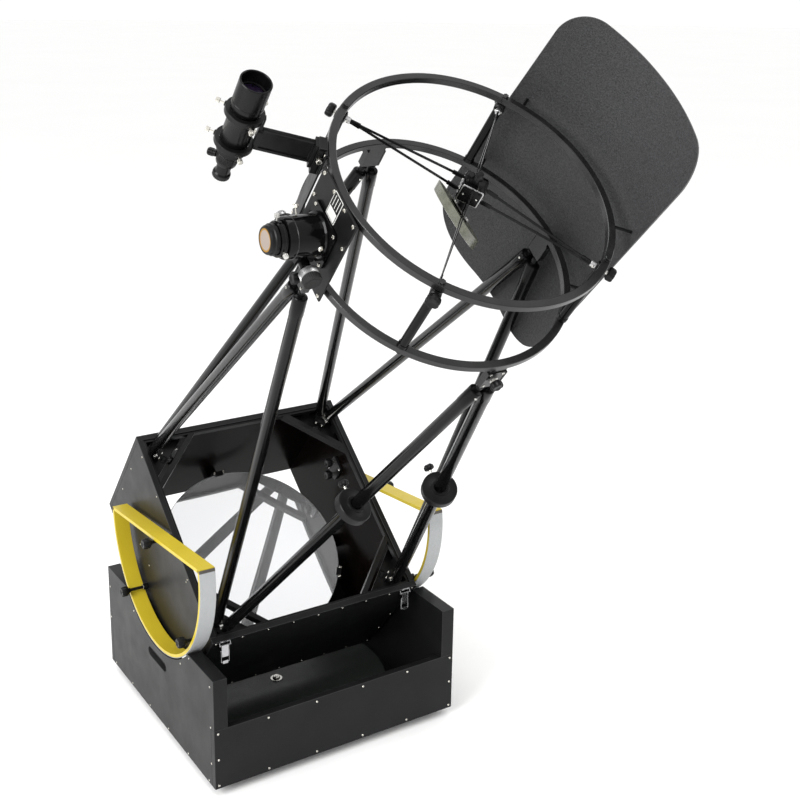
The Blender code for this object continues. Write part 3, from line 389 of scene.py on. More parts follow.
def circle(radius, height, steps, shape=None):
    """A ring of points. shape scales the radius from point to point."""
    ring = []
    for i in range(steps):
        r = radius * shape[i] if shape else radius
        a = 2 * pi * i / steps
        ring.append((r * cos(a), r * sin(a), height))
    return ring


def lathe(bm, profile, steps=32, mats=0, at=Matrix(), closed=False):
    loft(bm, [circle(r, z, steps) for r, z in profile], mats, closed, True, at)


def rod(bm, radius, low, high, steps=24, mat=0, at=Matrix(), chamfer=None):
    """A turned rod with a small chamfer at both ends."""
    cut = min(radius, high - low) * 0.18 if chamfer is None else chamfer
    profile = [(radius - cut, low), (radius, low + cut), (radius, high - cut), (radius - cut, high)]
    lathe(bm, profile, steps, mat, at)


def slab(bm, low, high, mat=0, at=Matrix()):
    outline = ((low[0], low[1]), (high[0], low[1]), (high[0], high[1]), (low[0], high[1]))
    loft(bm, [[(x, y, z) for x, y in outline] for z in (low[2], high[2])], mat, at=at)


def prism(bm, outline, low, high, mat=0, at=Matrix()):
    loft(bm, [[(x, y, z) for x, y in outline] for z in (low, high)], mat, at=at)


def rounded(width, height, corner, steps=5):
    """The outline of a rectangle with round corners."""
    points = []
    for sx, sy, start in ((1, 1, 0), (-1, 1, 90), (-1, -1, 180), (1, -1, 270)):
        for i in range(steps + 1):
            a = radians(start + 90 * i / steps)
            x = sx * (width / 2 - corner) + corner * cos(a)
            points.append((x, sy * (height / 2 - corner) + corner * sin(a)))
    return points


def lobed(bm, radius, low, high, lobes=5, depth=0.14, mat=0, at=Matrix()):
    """A moulded knob: lobes round the side, a dished crown and a soft lower edge."""
    steps = lobes * 10
    rise = high - low
    shape = [1 - depth * (0.5 - 0.5 * cos(2 * pi * i / 10)) ** 2 for i in range(steps)]
    faint = [0.8 + 0.2 * r for r in shape]
    sections = []
    for share, height in ((0.8, 0.0), (0.97, 0.16), (1.0, 0.45), (0.97, 0.8), (0.84, 0.98), (0.5, 1.0)):
        lobes_here = shape if share > 0.7 else faint
        sections.append(circle(radius * share, low + rise * height, steps, lobes_here))
    sections.append(circle(radius * 0.3, low + rise * 0.93, steps))
    loft(bm, sections, mat, at=at)


def ribbed(bm, radius, low, high, ribs=36, depth=0.0008, mat=0, at=Matrix()):
    """A straight knurl: a rib every few degrees, with chamfered ends."""
    steps = ribs * 4
    cut, rise = depth * 1.6, depth * 1.5
    sections = []
    for inset, height in ((cut, low), (0, low + rise), (0, high - rise), (cut, high)):
        radii = [radius - inset - (depth if i % 4 > 1 else 0) for i in range(steps)]
        sections.append(circle(1, height, steps, radii))
    loft(bm, sections, mat, at=at)


def screw(bm, at, radius=0.0032, mat=0):
    """A low round head with a hexagon socket in it."""
    rise = radius * 0.55
    steps = 18
    half = pi / 6
    socket = [cos(half) / cos((2 * pi * i / steps) % (2 * half) - half) for i in range(steps)]
    sections = [
        circle(radius, -0.0006, steps),
        circle(radius, rise * 0.35, steps),
        circle(radius * 0.86, rise * 0.85, steps),
        circle(radius * 0.52, rise, steps),
        circle(radius * 0.48, rise, steps, socket),
        circle(radius * 0.48, rise * 0.3, steps, socket),
    ]
    loft(bm, sections, mat, at=at)


def hexagon(bm, radius, low, high, mat=0, at=Matrix()):
    cut = radius * 0.1
    sections = [circle(r, z, 6) for r, z in ((radius, low), (radius, high - cut), (radius - cut, high))]
    loft(bm, sections, mat, at=at)


def thumbscrew(bm, at, reach=0.02, head=0.0052, mat=0):
    """A slim stem with a ribbed head, pointing along Z."""
    rod(bm, 0.0018, -0.004, reach - 0.006, 10, mat, at)
    ribbed(bm, head, reach - 0.008, reach, 14, 0.0005, mat, at)


def pointing(origin, direction, up=(0, 0, 1)):
    """The matrix that puts Z along a direction and X as near to up as it can."""
    z = Vector(direction).normalized()
    guide = Vector(up)
    if abs(z.dot(guide)) > 0.98:
        guide = Vector((0, 1, 0))
    y = z.cross(guide).normalized()
    x = y.cross(z)
    turn = Matrix((x, y, z)).transposed().to_4x4()
    return moved(origin) @ turn


def outward(angle, radius=0.0, level=0.0):
    """A frame at an angle round the optical axis: Z points outwards and X along the optical axis."""
    return pointing(polar(radius, angle, level), polar(1, angle))


def piece(
    name, bm, mats, body="tube", at=TUBE, stands_for=(), slot=None, bevel=0.0, segments=2, edge=None, sharp=35
):
    """Makes one object from a bmesh, in place in the shared frame, riding on its body."""
    bm.transform(at)
    bmesh.ops.recalc_face_normals(bm, faces=bm.faces)
    mesh = bpy.data.meshes.new(name)
    bm.to_mesh(mesh)
    bm.free()
    for key in mats.split():
        mesh.materials.append(MAT[key])
    mesh.shade_smooth()
    mesh.set_sharp_from_angle(angle=radians(sharp))
    obj = bpy.data.objects.new(name, mesh)
    bpy.context.scene.collection.objects.link(obj)
    if bevel:
        add_bevel(obj, bevel, segments, edge)
    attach(obj, body)
    if stands_for:
        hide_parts(*stands_for)
        slot = slot or SLOT_OF[stands_for[0]]
    return obj


def add_bevel(obj, width, segments, edge):
    modifier = obj.modifiers.new("rounded_edges", "BEVEL")
    modifier.width = width
    modifier.segments = segments
    modifier.limit_method = "ANGLE"
    modifier.angle_limit = radians(38)
    modifier.harden_normals = True
    if edge is not None:
        modifier.material = edge


def refine(node, mats, width=0.001, segments=2, edge=None, lined=None):
    """A copy of a CAD node's mesh with merged flats, rounded edges and its own finish.

    Faces that look along lined take the third material.
    """
    bm = bmesh.new()
    bm.from_mesh(frame["nodes"][node].data)
    bmesh.ops.remove_doubles(bm, verts=bm.verts, dist=2e-6)
    bmesh.ops.dissolve_limit(bm, angle_limit=radians(0.6), verts=bm.verts, edges=bm.edges)
    for face in bm.faces:
        face.material_index = 0
    if lined:
        bmesh.ops.recalc_face_normals(bm, faces=bm.faces)
        for face in bm.faces:
            face.material_index = 2 if face.normal.dot(lined) > 0.9 else 0
    title = f"{node}_finished"
    return piece(title, bm, mats, BODY_OF[node], Matrix(), (node,), None, width, segments, edge)


# Ground board and rocker box


def make_ground():
    refine("ground_board", "laminate edge", 0.0012, edge=1)
    for number in (1, 2, 3):
        refine(f"foot_{number}", "nylon", 0.0012, 3)
    low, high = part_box("azimuth_bolt")
    top = high.z
    bm = bmesh.new()
    rod(bm, 0.005, low.z, top - 0.004, 24)
    rod(bm, 0.0165, top - 0.009, top - 0.0074, 40)
    rod(bm, 0.0105, top - 0.0072, top - 0.0062, 32, 1)
    hexagon(bm, 0.0092, top - 0.006, top - 0.0012)
    for turn in range(4):
        rod(bm, 0.0042, top - 0.0016 + turn * 0.0004, top - 0.0011 + turn * 0.0004, 20)
    piece("pivot_bolt", bm, "steel knob", "ground", moved(CENTRE), ("azimuth_bolt",))


def make_rocker():
    for node in ("rocker_side_left", "rocker_side_right", "rocker_front", "rocker_back", "rocker_floor"):
        refine(node, "laminate edge", 0.0011, 2, 1)
    refine("azimuth_disc", "disc", 0.0004, 2)
    for number in (1, 2, 3, 4):
        refine(f"altitude_pad_{number}", "pad", 0.0005)
    bm = bmesh.new()
    columns = [-0.335 + 0.134 * i for i in range(6)]
    for side in (-1, 1):
        y = side * ROCKER_HALF_Y
        for x in columns:
            for z in (0.009, 0.149):
                screw(bm, pointing((x, y, z), (0, side, 0)), 0.003)
        for x in (columns[0], columns[-1]):
            screw(bm, pointing((x, y, 0.079), (0, side, 0)), 0.003)
        x = side * ROCKER_HALF_X
        for i in range(6):
            y = -0.312 + 0.1248 * i
            screw(bm, pointing((x, y, 0.007), (side, 0, 0)), 0.0026)
        for y, z in ((-0.328, 0.268), (-0.328, 0.16), (0.334, 0.233), (0.334, 0.14), (-0.328, 0.062)):
            screw(bm, pointing((x, y, z), (side, 0, 0)), 0.0026)
        for angle in (-44, -31, 31, 44):
            a = radians(angle)
            r = BEARING_RADIUS + 0.014
            place = (x, r * sin(a), ROCKER_AXIS_HEIGHT - r * cos(a))
            screw(bm, pointing(place, (side, 0, 0)), 0.0024)
    piece("rocker_screws", bm, "screw", "rocker", ROCKER, slot="bright_steel")
    make_slot_liners()
    make_corner_cleats()


def make_slot_liners():
    """A thin moulded lip round each handle slot."""
    for name, side in (("left", -1), ("right", 1)):
        bm = bmesh.new()
        outer = rounded(0.1176, 0.0256, 0.0127, 8)
        inner = rounded(0.115, 0.023, 0.0114, 8)
        place = pointing((side * ROCKER_HALF_X, 0, 0.176), (side, 0, 0), (0, 1, 0))
        sections = [
            [(a, b, -0.036) for a, b in outer],
            [(a, b, 0.0004) for a, b in outer],
            [(a, b, 0.0004) for a, b in inner],
            [(a, b, -0.036) for a, b in inner],
        ]
        loft(bm, sections, 0, closed=True, at=place)
        piece(f"handle_lip_{name}", bm, "rubber", "rocker", ROCKER, slot="black_laminate", sharp=50)


def make_corner_cleats():
    """Inner corner blocks that tie the front and back boards to the side panels."""
    bm = bmesh.new()
    for sx in (-1, 1):
        for sy in (-1, 1):
            x = sx * 0.3086
            y = sy * 0.3281
            lows = (min(x, x - sx * 0.018), min(y, y - sy * 0.018), 0.0106)
            highs = (max(x, x - sx * 0.018), max(y, y - sy * 0.018), 0.15)
            slab(bm, lows, highs)
    piece("corner_cleats", bm, "laminate", "rocker", ROCKER, slot="black_laminate", bevel=0.001)


# Altitude bearings


def arc_bar(bm, inner, outer, start, end, steps, low, high, mat=0, ends=None):
    sections = []
    for i in range(steps + 1):
        a = radians(start + (end - start) * i / steps)
        ring = ((low, inner), (high, inner), (high, outer), (low, outer))
        sections.append([(x, r * cos(a), r * sin(a)) for x, r in ring])
    mats = [mat] * (steps + 2)
    if ends is not None:
        mats[0] = mats[steps - 1] = mats[-1] = mats[-2] = ends
    loft(bm, sections, mats)


def make_bearings():
    start = CHORD_ANGLE - CHORD_EXTRA_ANGLE
    end = CHORD_ANGLE + 180 + CHORD_EXTRA_ANGLE
    for name, side in (("left", -1), ("right", 1)):
        xs = sorted((side * BEARING_X[0], side * BEARING_X[1]))
        bm = bmesh.new()
        arc_bar(bm, RIM_OUTER - RIM_THICK, RIM_OUTER, start, end, 96, *xs)
        turn = turned(CHORD_ANGLE, "X")
        reach = RIM_OUTER * cos(radians(CHORD_EXTRA_ANGLE)) - 0.0004
        slab(bm, (xs[0], -reach, -CHORD_RISE), (xs[1], reach, CHORD_THICK - CHORD_RISE), 0, turn)
        face = side * (BOX_HALF_X + 0.0003)
        node = f"bearing_{name}"
        hoop = piece(f"bearing_hoop_{name}", bm, "yellow", stands_for=(node,), bevel=0.0008, segments=3)
        hoop.modifiers[0].angle_limit = radians(50)
        bm = bmesh.new()
        for radius, angle in KNOB_PLACES:
            a = radians(angle)
            spot = moved((0, radius * cos(a), radius * sin(a)))
            place = spot @ pointing((face, 0, 0), (side, 0, 0))
            rod(bm, 0.004, 0.01, 0.058, 16, 0, place)
            rod(bm, 0.008, 0, 0.014, 24, 0, place, 0.001)
            rod(bm, 0.0085, 0.014, 0.0156, 24, 1, place)
            rod(bm, 0.0065, 0.05, 0.057, 20, 0, place)
            lobed(bm, 0.0135, 0.0555, 0.0755, 6, 0.16, 0, place)
        piece(f"bearing_knobs_{name}", bm, "knob steel", slot="knob_plastic")
        bm = bmesh.new()
        inner = RIM_OUTER + 0.0003
        arc_bar(bm, inner, BEARING_RADIUS, start + 0.5, end - 0.5, 120, *xs, 0, 1)
        strip = f"bearing_facing_{name}"
        piece(f"{strip}_strip", bm, "facing facing_end", stands_for=(strip,), bevel=0.0002)


# Mirror box, truss frame, mirror and cell


def make_mirror_box():
    inward = {
        "front": Vector((0, 0.766, 0.643)),
        "back": Vector((0, -0.766, -0.643)),
        "left": Vector((1, 0, 0)),
        "right": Vector((-1, 0, 0)),
    }
    for name, direction in inward.items():
        refine(f"mirror_box_{name}", "laminate edge inside", 0.001, 2, 1, direction)
    refine("truss_frame", "powder", 0.0011, 2)
    make_box_screws()
    make_clamps()
    make_latch_plates()


def make_box_screws():
    bm = bmesh.new()
    top = OPENING - 0.01
    low = OPENING - 0.354
    for side in (-1, 1):
        y = side * BOX_HALF_Y
        for i in range(9):
            x = -0.285 + 0.07125 * i
            for z in (top, low):
                screw(bm, pointing((x, y, z), (0, side, 0)), 0.0024)
        for z in (-0.07, -0.155, -0.245):
            for x in (-0.288, 0.288):
                screw(bm, pointing((x, y, z), (0, side, 0)), 0.0024)
        x = side * BOX_HALF_X
        for i in range(5):
            y = -0.24 + 0.12 * i
            for z in (top, low):
                screw(bm, pointing((x, y, z), (side, 0, 0)), 0.0024)
        for y, z in ((0.265, -0.09), (0.265, -0.2), (-0.12, 0.0), (0.03, -0.205), (0.1, -0.215)):
            screw(bm, pointing((x, y, z), (side, 0, 0)), 0.0024)
    piece("box_screws", bm, "screw", slot="bright_steel")


def stadium(first, second, radius, steps=10):
    """The outline round two points at a distance."""
    run = second - first
    start = atan2(run.y, run.x)
    points = []
    for centre, turn in ((second, start - pi / 2), (first, start + pi / 2)):
        for i in range(steps + 1):
            a = turn + pi * i / steps
            points.append((centre.x + radius * cos(a), centre.y + radius * sin(a)))
    return points


def make_clamps():
    """In each corner, a split clamp round two pole feet, with a socket bolt and a lobed knob."""
    bm = bmesh.new()
    for sx in (-1, 1):
        for sy in (-1, 1):
            one = Vector((sx * POLE_FOOT_FAR, sy * POLE_FOOT_NEAR))
            two = Vector((sx * POLE_FOOT_NEAR, sy * POLE_FOOT_FAR))
            if sx * sy > 0:
                one, two = two, one
            prism(bm, stadium(one, two, 0.0118), -0.0123, 0.009)
            inner = Vector((-sx, -sy, 0)).normalized()
            middle = Vector((sx * 0.26, sy * 0.26, -0.004))
            place = pointing(middle + inner * 0.01, inner)
            slab(bm, (-0.0075, -0.016, -0.006), (0.0075, 0.016, 0.016), 0, place)
            for y in (-0.009, 0.009):
                screw(bm, place @ moved((0.001, y, 0.016)), 0.0042, 1)
            stem = place @ moved((-0.013, 0, 0))
            rod(bm, 0.003, -0.002, 0.024, 14, 1, stem)
            lobed(bm, 0.0125, 0.022, 0.036, 5, 0.18, 0, stem)
            side = Vector((-sx, 0, 0)) if sy < 0 else Vector((0, -sy, 0))
            place = pointing(middle + Vector((0, 0, 0.013)), side)
            hexagon(bm, 0.0062, 0.0, 0.026, 1, place)
    piece("pole_clamps", bm, "powder steel", slot="black_powder", bevel=0.0006)
    make_wall_hardware()


def make_wall_hardware():
    """Plates with two lobed knobs and two screws on the inner walls."""
    bm = bmesh.new()
    spots = (
        (Vector((-0.19, INNER_Y, -0.075)), (0, -1, 0)),
        (Vector((INNER_X, 0.135, -0.085)), (-1, 0, 0)),
        (Vector((-INNER_X, -0.15, -0.085)), (1, 0, 0)),
    )
    for origin, direction in spots:
        place = pointing(origin, direction)
        prism(bm, rounded(0.058, 0.05, 0.008), 0, 0.006, 0, place)
        for x, y in ((-0.015, -0.01), (0.014, 0.013)):
            spot = place @ moved((x, y, 0))
            rod(bm, 0.0046, 0.004, 0.02, 18, 1, spot)
            lobed(bm, 0.0135, 0.016, 0.032, 5, 0.18, 0, spot)
        for x, y in ((0.022, -0.018), (-0.022, 0.018)):
            screw(bm, place @ moved((x, y, 0.006)), 0.0042, 1)
    piece("wall_knobs", bm, "powder steel", slot="black_powder", bevel=0.0006)


def make_latch_plates():
    """Hinge plates of the two toggles, screwed to the front wall."""
    bm = bmesh.new()
    for side in (-1, 1):
        place = pointing((side * LATCH_X, -BOX_HALF_Y, LATCH_TOP), (0, -1, 0))
        base = place @ moved((0.004, 0, 0))
        prism(bm, rounded(0.022, 0.026, 0.003), -0.0002, 0.0012, 0, base)
        for y in (-0.0142, 0.0142):
            ear = [(-0.004, 0), (0.007, 0), (0.004, 0.0085), (-0.002, 0.0085)]
            plate = place @ turned(90, "X")
            prism(bm, ear, -y - 0.0008, -y + 0.0008, 0, plate)
        axle = pointing((side * LATCH_X - 0.0155, -BOX_HALF_Y - 0.0055, LATCH_TOP), (1, 0, 0))
        rod(bm, 0.0016, 0, 0.031, 12, 0, axle)
        for y in (-0.007, 0.007):
            screw(bm, place @ moved((0.011, y, 0.001)), 0.0022)
    piece("latch_plates", bm, "chrome", slot="latch_chrome", bevel=0.0003)


def make_latches():
    """A pressed lever with a wire bail, hanging plumb from its hinge."""
    for name, side in (("left", -1), ("right", 1)):
        bm = bmesh.new()
        joint = JOINTS[f"toggle_swing_{name}"]
        place = moved(joint["pos_m"])
        slab(bm, (-0.0085, -0.0022, -0.03), (0.0085, 0.0018, 0.001), 0, place)
        for x in (-0.0097, 0.0085):
            slab(bm, (x, -0.0032, -0.026), (x + 0.0012, 0.0034, 0.0012), 0, place)
        slab(bm, (-0.006, 0.0016, -0.025), (0.006, 0.003, -0.006), 0, place)
        for x in (-0.0106, 0.0106):
            wire = place @ moved((x, -0.0005, 0))
            rod(bm, 0.0011, -0.044, -0.014, 10, 0, wire)
        for z in (-0.044, -0.0145):
            cross = place @ moved((0, -0.0005, z)) @ turned(90, "Y")
            rod(bm, 0.0012, -0.0112, 0.0112, 10, 0, cross)
        slab(bm, (-0.007, -0.0026, -0.048), (0.007, 0.0012, -0.04), 0, place)
        body = f"toggle_{name}"
        piece(body, bm, "chrome", body, Matrix(), (f"latch_{name}",), bevel=0.0005, segments=3)


def make_primary():
    """A concave paraboloid with a ground edge, a bright chamfer and clips at its rim."""
    steps = 160
    rings = 20
    curve = 4 * FOCAL_LENGTH
    chamfer = 0.0014
    back = MIRROR_RIM - MIRROR_THICK
    profile = [
        (MIRROR_RADIUS - 0.002, back), (MIRROR_RADIUS, back + 0.002),
        (MIRROR_RADIUS, MIRROR_RIM - chamfer), (MIRROR_RADIUS - chamfer, MIRROR_RIM),
    ]
    edge = MIRROR_RADIUS - chamfer
    for i in range(1, rings + 1):
        r = edge * (1 - i / rings)
        profile.append((r, MIRROR_RIM - (edge**2 - r**2) / curve))
    mats = [1, 1, 2] + [0] * rings + [1, 0]
    bm = bmesh.new()
    lathe(bm, profile, steps, mats)
    piece("primary_mirror_glass", bm, "mirror glass bevel_line", stands_for=("primary_mirror",), sharp=20)
    bm = bmesh.new()
    for angle in (91.6, -28.8, 211.4):
        place = outward(angle, MIRROR_RADIUS, MIRROR_RIM)
        slab(bm, (-0.045, -0.021, 0.0012), (0.004, 0.021, 0.0075), 0, place)
        slab(bm, (0.0012, -0.011, -0.007), (0.0045, 0.011, 0.0075), 0, place)
        for y in (-0.014, 0.014):
            tip = place @ moved((0.004, y, 0.0044)) @ turned(90, "Y")
            screw(bm, tip, 0.0044, 1)
    piece("mirror_clips", bm, "powder screw", slot="black_powder", bevel=0.0007)
    make_cell()


def make_cell():
    refine("mirror_cell", "powder", 0.001, 2)
    bm = bmesh.new()
    for angle in (90, 210, 330):
        place = moved(polar(0.17, angle))
        rod(bm, 0.0045, -0.327, -0.313, 18, 1, place)
        flip = place @ moved((0, 0, -0.32)) @ turned(180, "X")
        lobed(bm, 0.0155, 0.0, 0.016, 6, 0.15, 0, flip)
    piece("cell_knobs", bm, "knob steel", slot="knob_plastic")


# Truss and cage


def pole_ends():
    ends = []
    for angle in (0, 90, 180, 270):
        turn = turned(angle, "Z")
        for side in (-1, 1):
            top = turn @ Vector((POLE_TOP_CIRCLE, side * POLE_TOP_SPREAD, POLE_TOP))
            foot = turn @ Vector((POLE_FOOT_FAR, side * POLE_FOOT_NEAR, POLE_FOOT))
            ends.append((foot, top))
    return ends


def make_poles():
    for number, (foot, top) in enumerate(pole_ends(), 1):
        run = top - foot
        length = run.length
        lip = length - 0.017
        profile = [
            (0.0064, 0), (0.0079, 0.0015), (0.0079, 0.0345), (POLE_RADIUS - 0.0009, 0.0372),
            (POLE_RADIUS, 0.0386), (POLE_RADIUS, lip - 0.047),
            (POLE_RADIUS + 0.0009, lip - 0.0455), (POLE_RADIUS + 0.0009, lip - 0.002),
            (POLE_RADIUS - 0.0006, lip), (0.0095, lip + 0.0008), (0.0074, lip + 0.0022),
            (0.0074, length - 0.0045), (0.0079, length - 0.0035), (0.0079, length - 0.0012),
            (0.0064, length),
        ]
        bm = bmesh.new()
        lathe(bm, profile, 36, 0, pointing(foot, run))
        spin = pointing(foot, run)
        screw(bm, spin @ pointing((0, POLE_RADIUS + 0.0008, lip - 0.012), (0, 1, 0)), 0.0028, 1)
        name = f"truss_pole_{number}"
        piece(f"{name}_tube", bm, "pole steel", stands_for=(name,))


def square_ring(bm, top, steps=144):
    low = top - RING_HEIGHT
    inner = RING_RADIUS - RING_WIDTH
    cut = 0.0012
    profile = [
        (inner + cut, low), (RING_RADIUS - cut, low), (RING_RADIUS, low + cut),
        (RING_RADIUS, top - cut), (RING_RADIUS - cut, top), (inner + cut, top),
        (inner, top - cut), (inner, low + cut),
    ]
    lathe(bm, profile, steps, 0, closed=True)


def make_rings():
    bm = bmesh.new()
    square_ring(bm, UPPER_RING_TOP)
    piece("upper_ring_tube", bm, "ring", stands_for=("upper_ring",), sharp=25)
    bm = bmesh.new()
    square_ring(bm, LOWER_RING_TOP)
    low = LOWER_RING_TOP - RING_HEIGHT
    for angle in (0, 90, 180, 270):
        place = outward(angle, RING_MIDDLE, low)
        slab(bm, (-0.012, -0.019, -0.006), (0.001, 0.019, 0.0058), 0, place)
        slab(bm, (-0.0563, -0.0215, -0.0058), (-0.0095, 0.0215, 0.008), 0, place)
        for y in (-0.0225, 0.0195):
            slab(bm, (-0.055, y, -0.0066), (-0.011, y + 0.003, 0.009), 0, place)
        for y in (-0.0145, 0.0145):
            screw(bm, place @ moved((-0.015, y, 0.008)), 0.0032, 1)
            screw(bm, place @ moved((-0.05, y, 0.008)), 0.0032, 1)
        stem = place @ moved((-0.033, 0, 0))
        rod(bm, 0.004, 0.004, 0.018, 16, 1, stem)
        rod(bm, 0.009, 0.008, 0.0102, 24, 1, stem)
        lobed(bm, 0.0135, 0.0145, 0.0285, 5, 0.2, 2, stem)
    piece("lower_ring_tube", bm, "ring steel knob", stands_for=("lower_ring",), sharp=30)


def make_posts():
    for number, angle in enumerate(POST_ANGLES, 1):
        place = moved(polar(RING_MIDDLE, angle))
        low = LOWER_RING_TOP
        high = UPPER_RING_TOP - RING_HEIGHT
        bm = bmesh.new()
        rod(bm, 0.0095, low, high, 36, 0, place, 0.0004)
        for level in (low, high - 0.01):
            rod(bm, 0.0108, level, level + 0.01, 36, 0, place, 0.0008)
        node = f"cage_post_{number}"
        piece(f"{node}_tube", bm, "pole", stands_for=(node,))
        bm = bmesh.new()
        rod(bm, 0.0075, UPPER_RING_TOP - 0.0005, UPPER_RING_TOP + 0.0015, 28, 2, place)
        hexagon(bm, 0.006, UPPER_RING_TOP + 0.0012, UPPER_RING_TOP + 0.0062, 2, place)
        rod(bm, 0.0078, LOWER_RING_TOP - RING_HEIGHT - 0.002, LOWER_RING_TOP - RING_HEIGHT, 28, 2, place)
        out = outward(angle, RING_MIDDLE, VANE_LEVEL)
        rod(bm, 0.0115, -0.011, 0.011, 28, 0, out)
        rod(bm, 0.005, 0.01, 0.018, 18, 1, out)
        lobed(bm, 0.0145, 0.015, 0.03, 6, 0.16, 0, out)
        piece(f"post_fixings_{number}", bm, "knob steel ring", slot="knob_plastic")


# Spider and secondary mirror


def make_spider():
    middle = (HUB_BOTTOM + HUB_TOP) / 2
    turn = turned(POST_ANGLES[1], "Z")
    bm = bmesh.new()
    prism(bm, rounded(0.04, 0.04, 0.004), HUB_BOTTOM + 0.003, HUB_TOP - 0.003, 0, turn)
    for side in range(4):
        face = turn @ turned(side * 90, "Z")
        plate = face @ pointing((0.0205, 0, middle), (1, 0, 0))
        prism(bm, rounded(0.04, 0.044, 0.003), 0, 0.0022, 1 if side == 2 else 0, plate)
        prism(bm, rounded(0.036, 0.04, 0.003), 0.0022, 0.0034, 0, plate)
        for x in (-0.014, 0, 0.014):
            for y in (-0.014, 0.014):
                screw(bm, plate @ moved((x, y, 0.0034)), 0.0021, 2 if x == 0 else 0)
    reach = RING_MIDDLE - 0.0095 - 0.0003
    for angle in POST_ANGLES:
        end = polar(reach - 0.004, angle, VANE_LEVEL)
        for side in (-1, 1):
            start = polar(0.0225, angle, middle + side * 0.016)
            run = end - start
            place = pointing(start, run)
            slab(bm, (-0.0026, -0.0009, 0), (0.0026, 0.0009, run.length), 0, place)
            for share in (0.06, 0.93):
                tab = place @ moved((0, 0, run.length * share))
                slab(bm, (-0.0042, -0.0016, -0.011), (0.0042, 0.0016, 0.011), 0, tab)
        knuckle = outward(angle, reach - 0.012, VANE_LEVEL)
        rod(bm, 0.0062, 0, 0.012, 24, 1, knuckle)
        for side in (1, -1):
            screw(bm, knuckle @ pointing((0, side * 0.006, 0.006), (0, side, 0)), 0.003, 2)
    piece("spider_vanes", bm, "black brushed steel", stands_for=("spider",), bevel=0.0004)
    bm = bmesh.new()
    for x, y in ((0.011, 0.011), (-0.011, 0.011), (0, -0.0145)):
        rod(bm, 0.0034, 0, 0.01, 14, 1, moved((x, y, HUB_TOP - 0.004)))
        ribbed(bm, 0.0068, HUB_TOP + 0.003, HUB_TOP + 0.011, 18, 0.0006, 0, moved((x, y, 0)))
    lobed(bm, 0.01, HUB_TOP - 0.002, HUB_TOP + 0.014, 6, 0.14, 0)
    piece("collimation_knobs", bm, "knob steel", slot="knob_plastic")


def leaning(radius, start, end, steps=48):
    """Sections of a disc cut by 45 degree planes, square to the folded light path."""
    sections = []
    for level in (start, end):
        ring = []
        for i in range(steps):
            a = 2 * pi * i / steps
            x = radius * cos(a)
            ring.append((x, radius * sin(a), level - x))
        sections.append(ring)
    return sections


def make_secondary():
    pivot = Vector(JOINTS["secondary_tilt"]["pos_m"])
    place = moved(pivot) @ turned(TILT, "X")
    front = FOCUS_LEVEL - HUB_BOTTOM
    back = front + SECONDARY_THICK * sqrt(2)
    bm = bmesh.new()
    rim = leaning(SECONDARY_RADIUS, front, back)
    face = leaning(SECONDARY_RADIUS - 0.0013, front - 0.0004, front)[0]
    loft(bm, [face] + rim, [2, 1, 0, 1])
    mats = "mirror green_glass bevel_line"
    piece("secondary_glass", bm, mats, "secondary", place, ("secondary_mirror",), sharp=25)
    bm = bmesh.new()
    seat = back + 0.0006
    loft(bm, leaning(0.028, seat + 0.004, seat + 0.0066, 40), 0)
    loft(bm, leaning(0.024, seat, seat + 0.0044, 32), 1)
    for i in range(3):
        x, y, _ = polar(0.022, 60 + 120 * i)
        screw(bm, pointing((x, y, seat + 0.0064 - x), (1, 0, 1)), 0.0036, 2)
    rod(bm, 0.011, seat + 0.01, -0.0012, 32, 1)
    rod(bm, 0.005, -0.003, 0.0, 18, 2)
    mats = "brushed powder steel"
    piece("secondary_holder_plate", bm, mats, "secondary", place, ("secondary_holder",), bevel=0.0004)


# Focuser


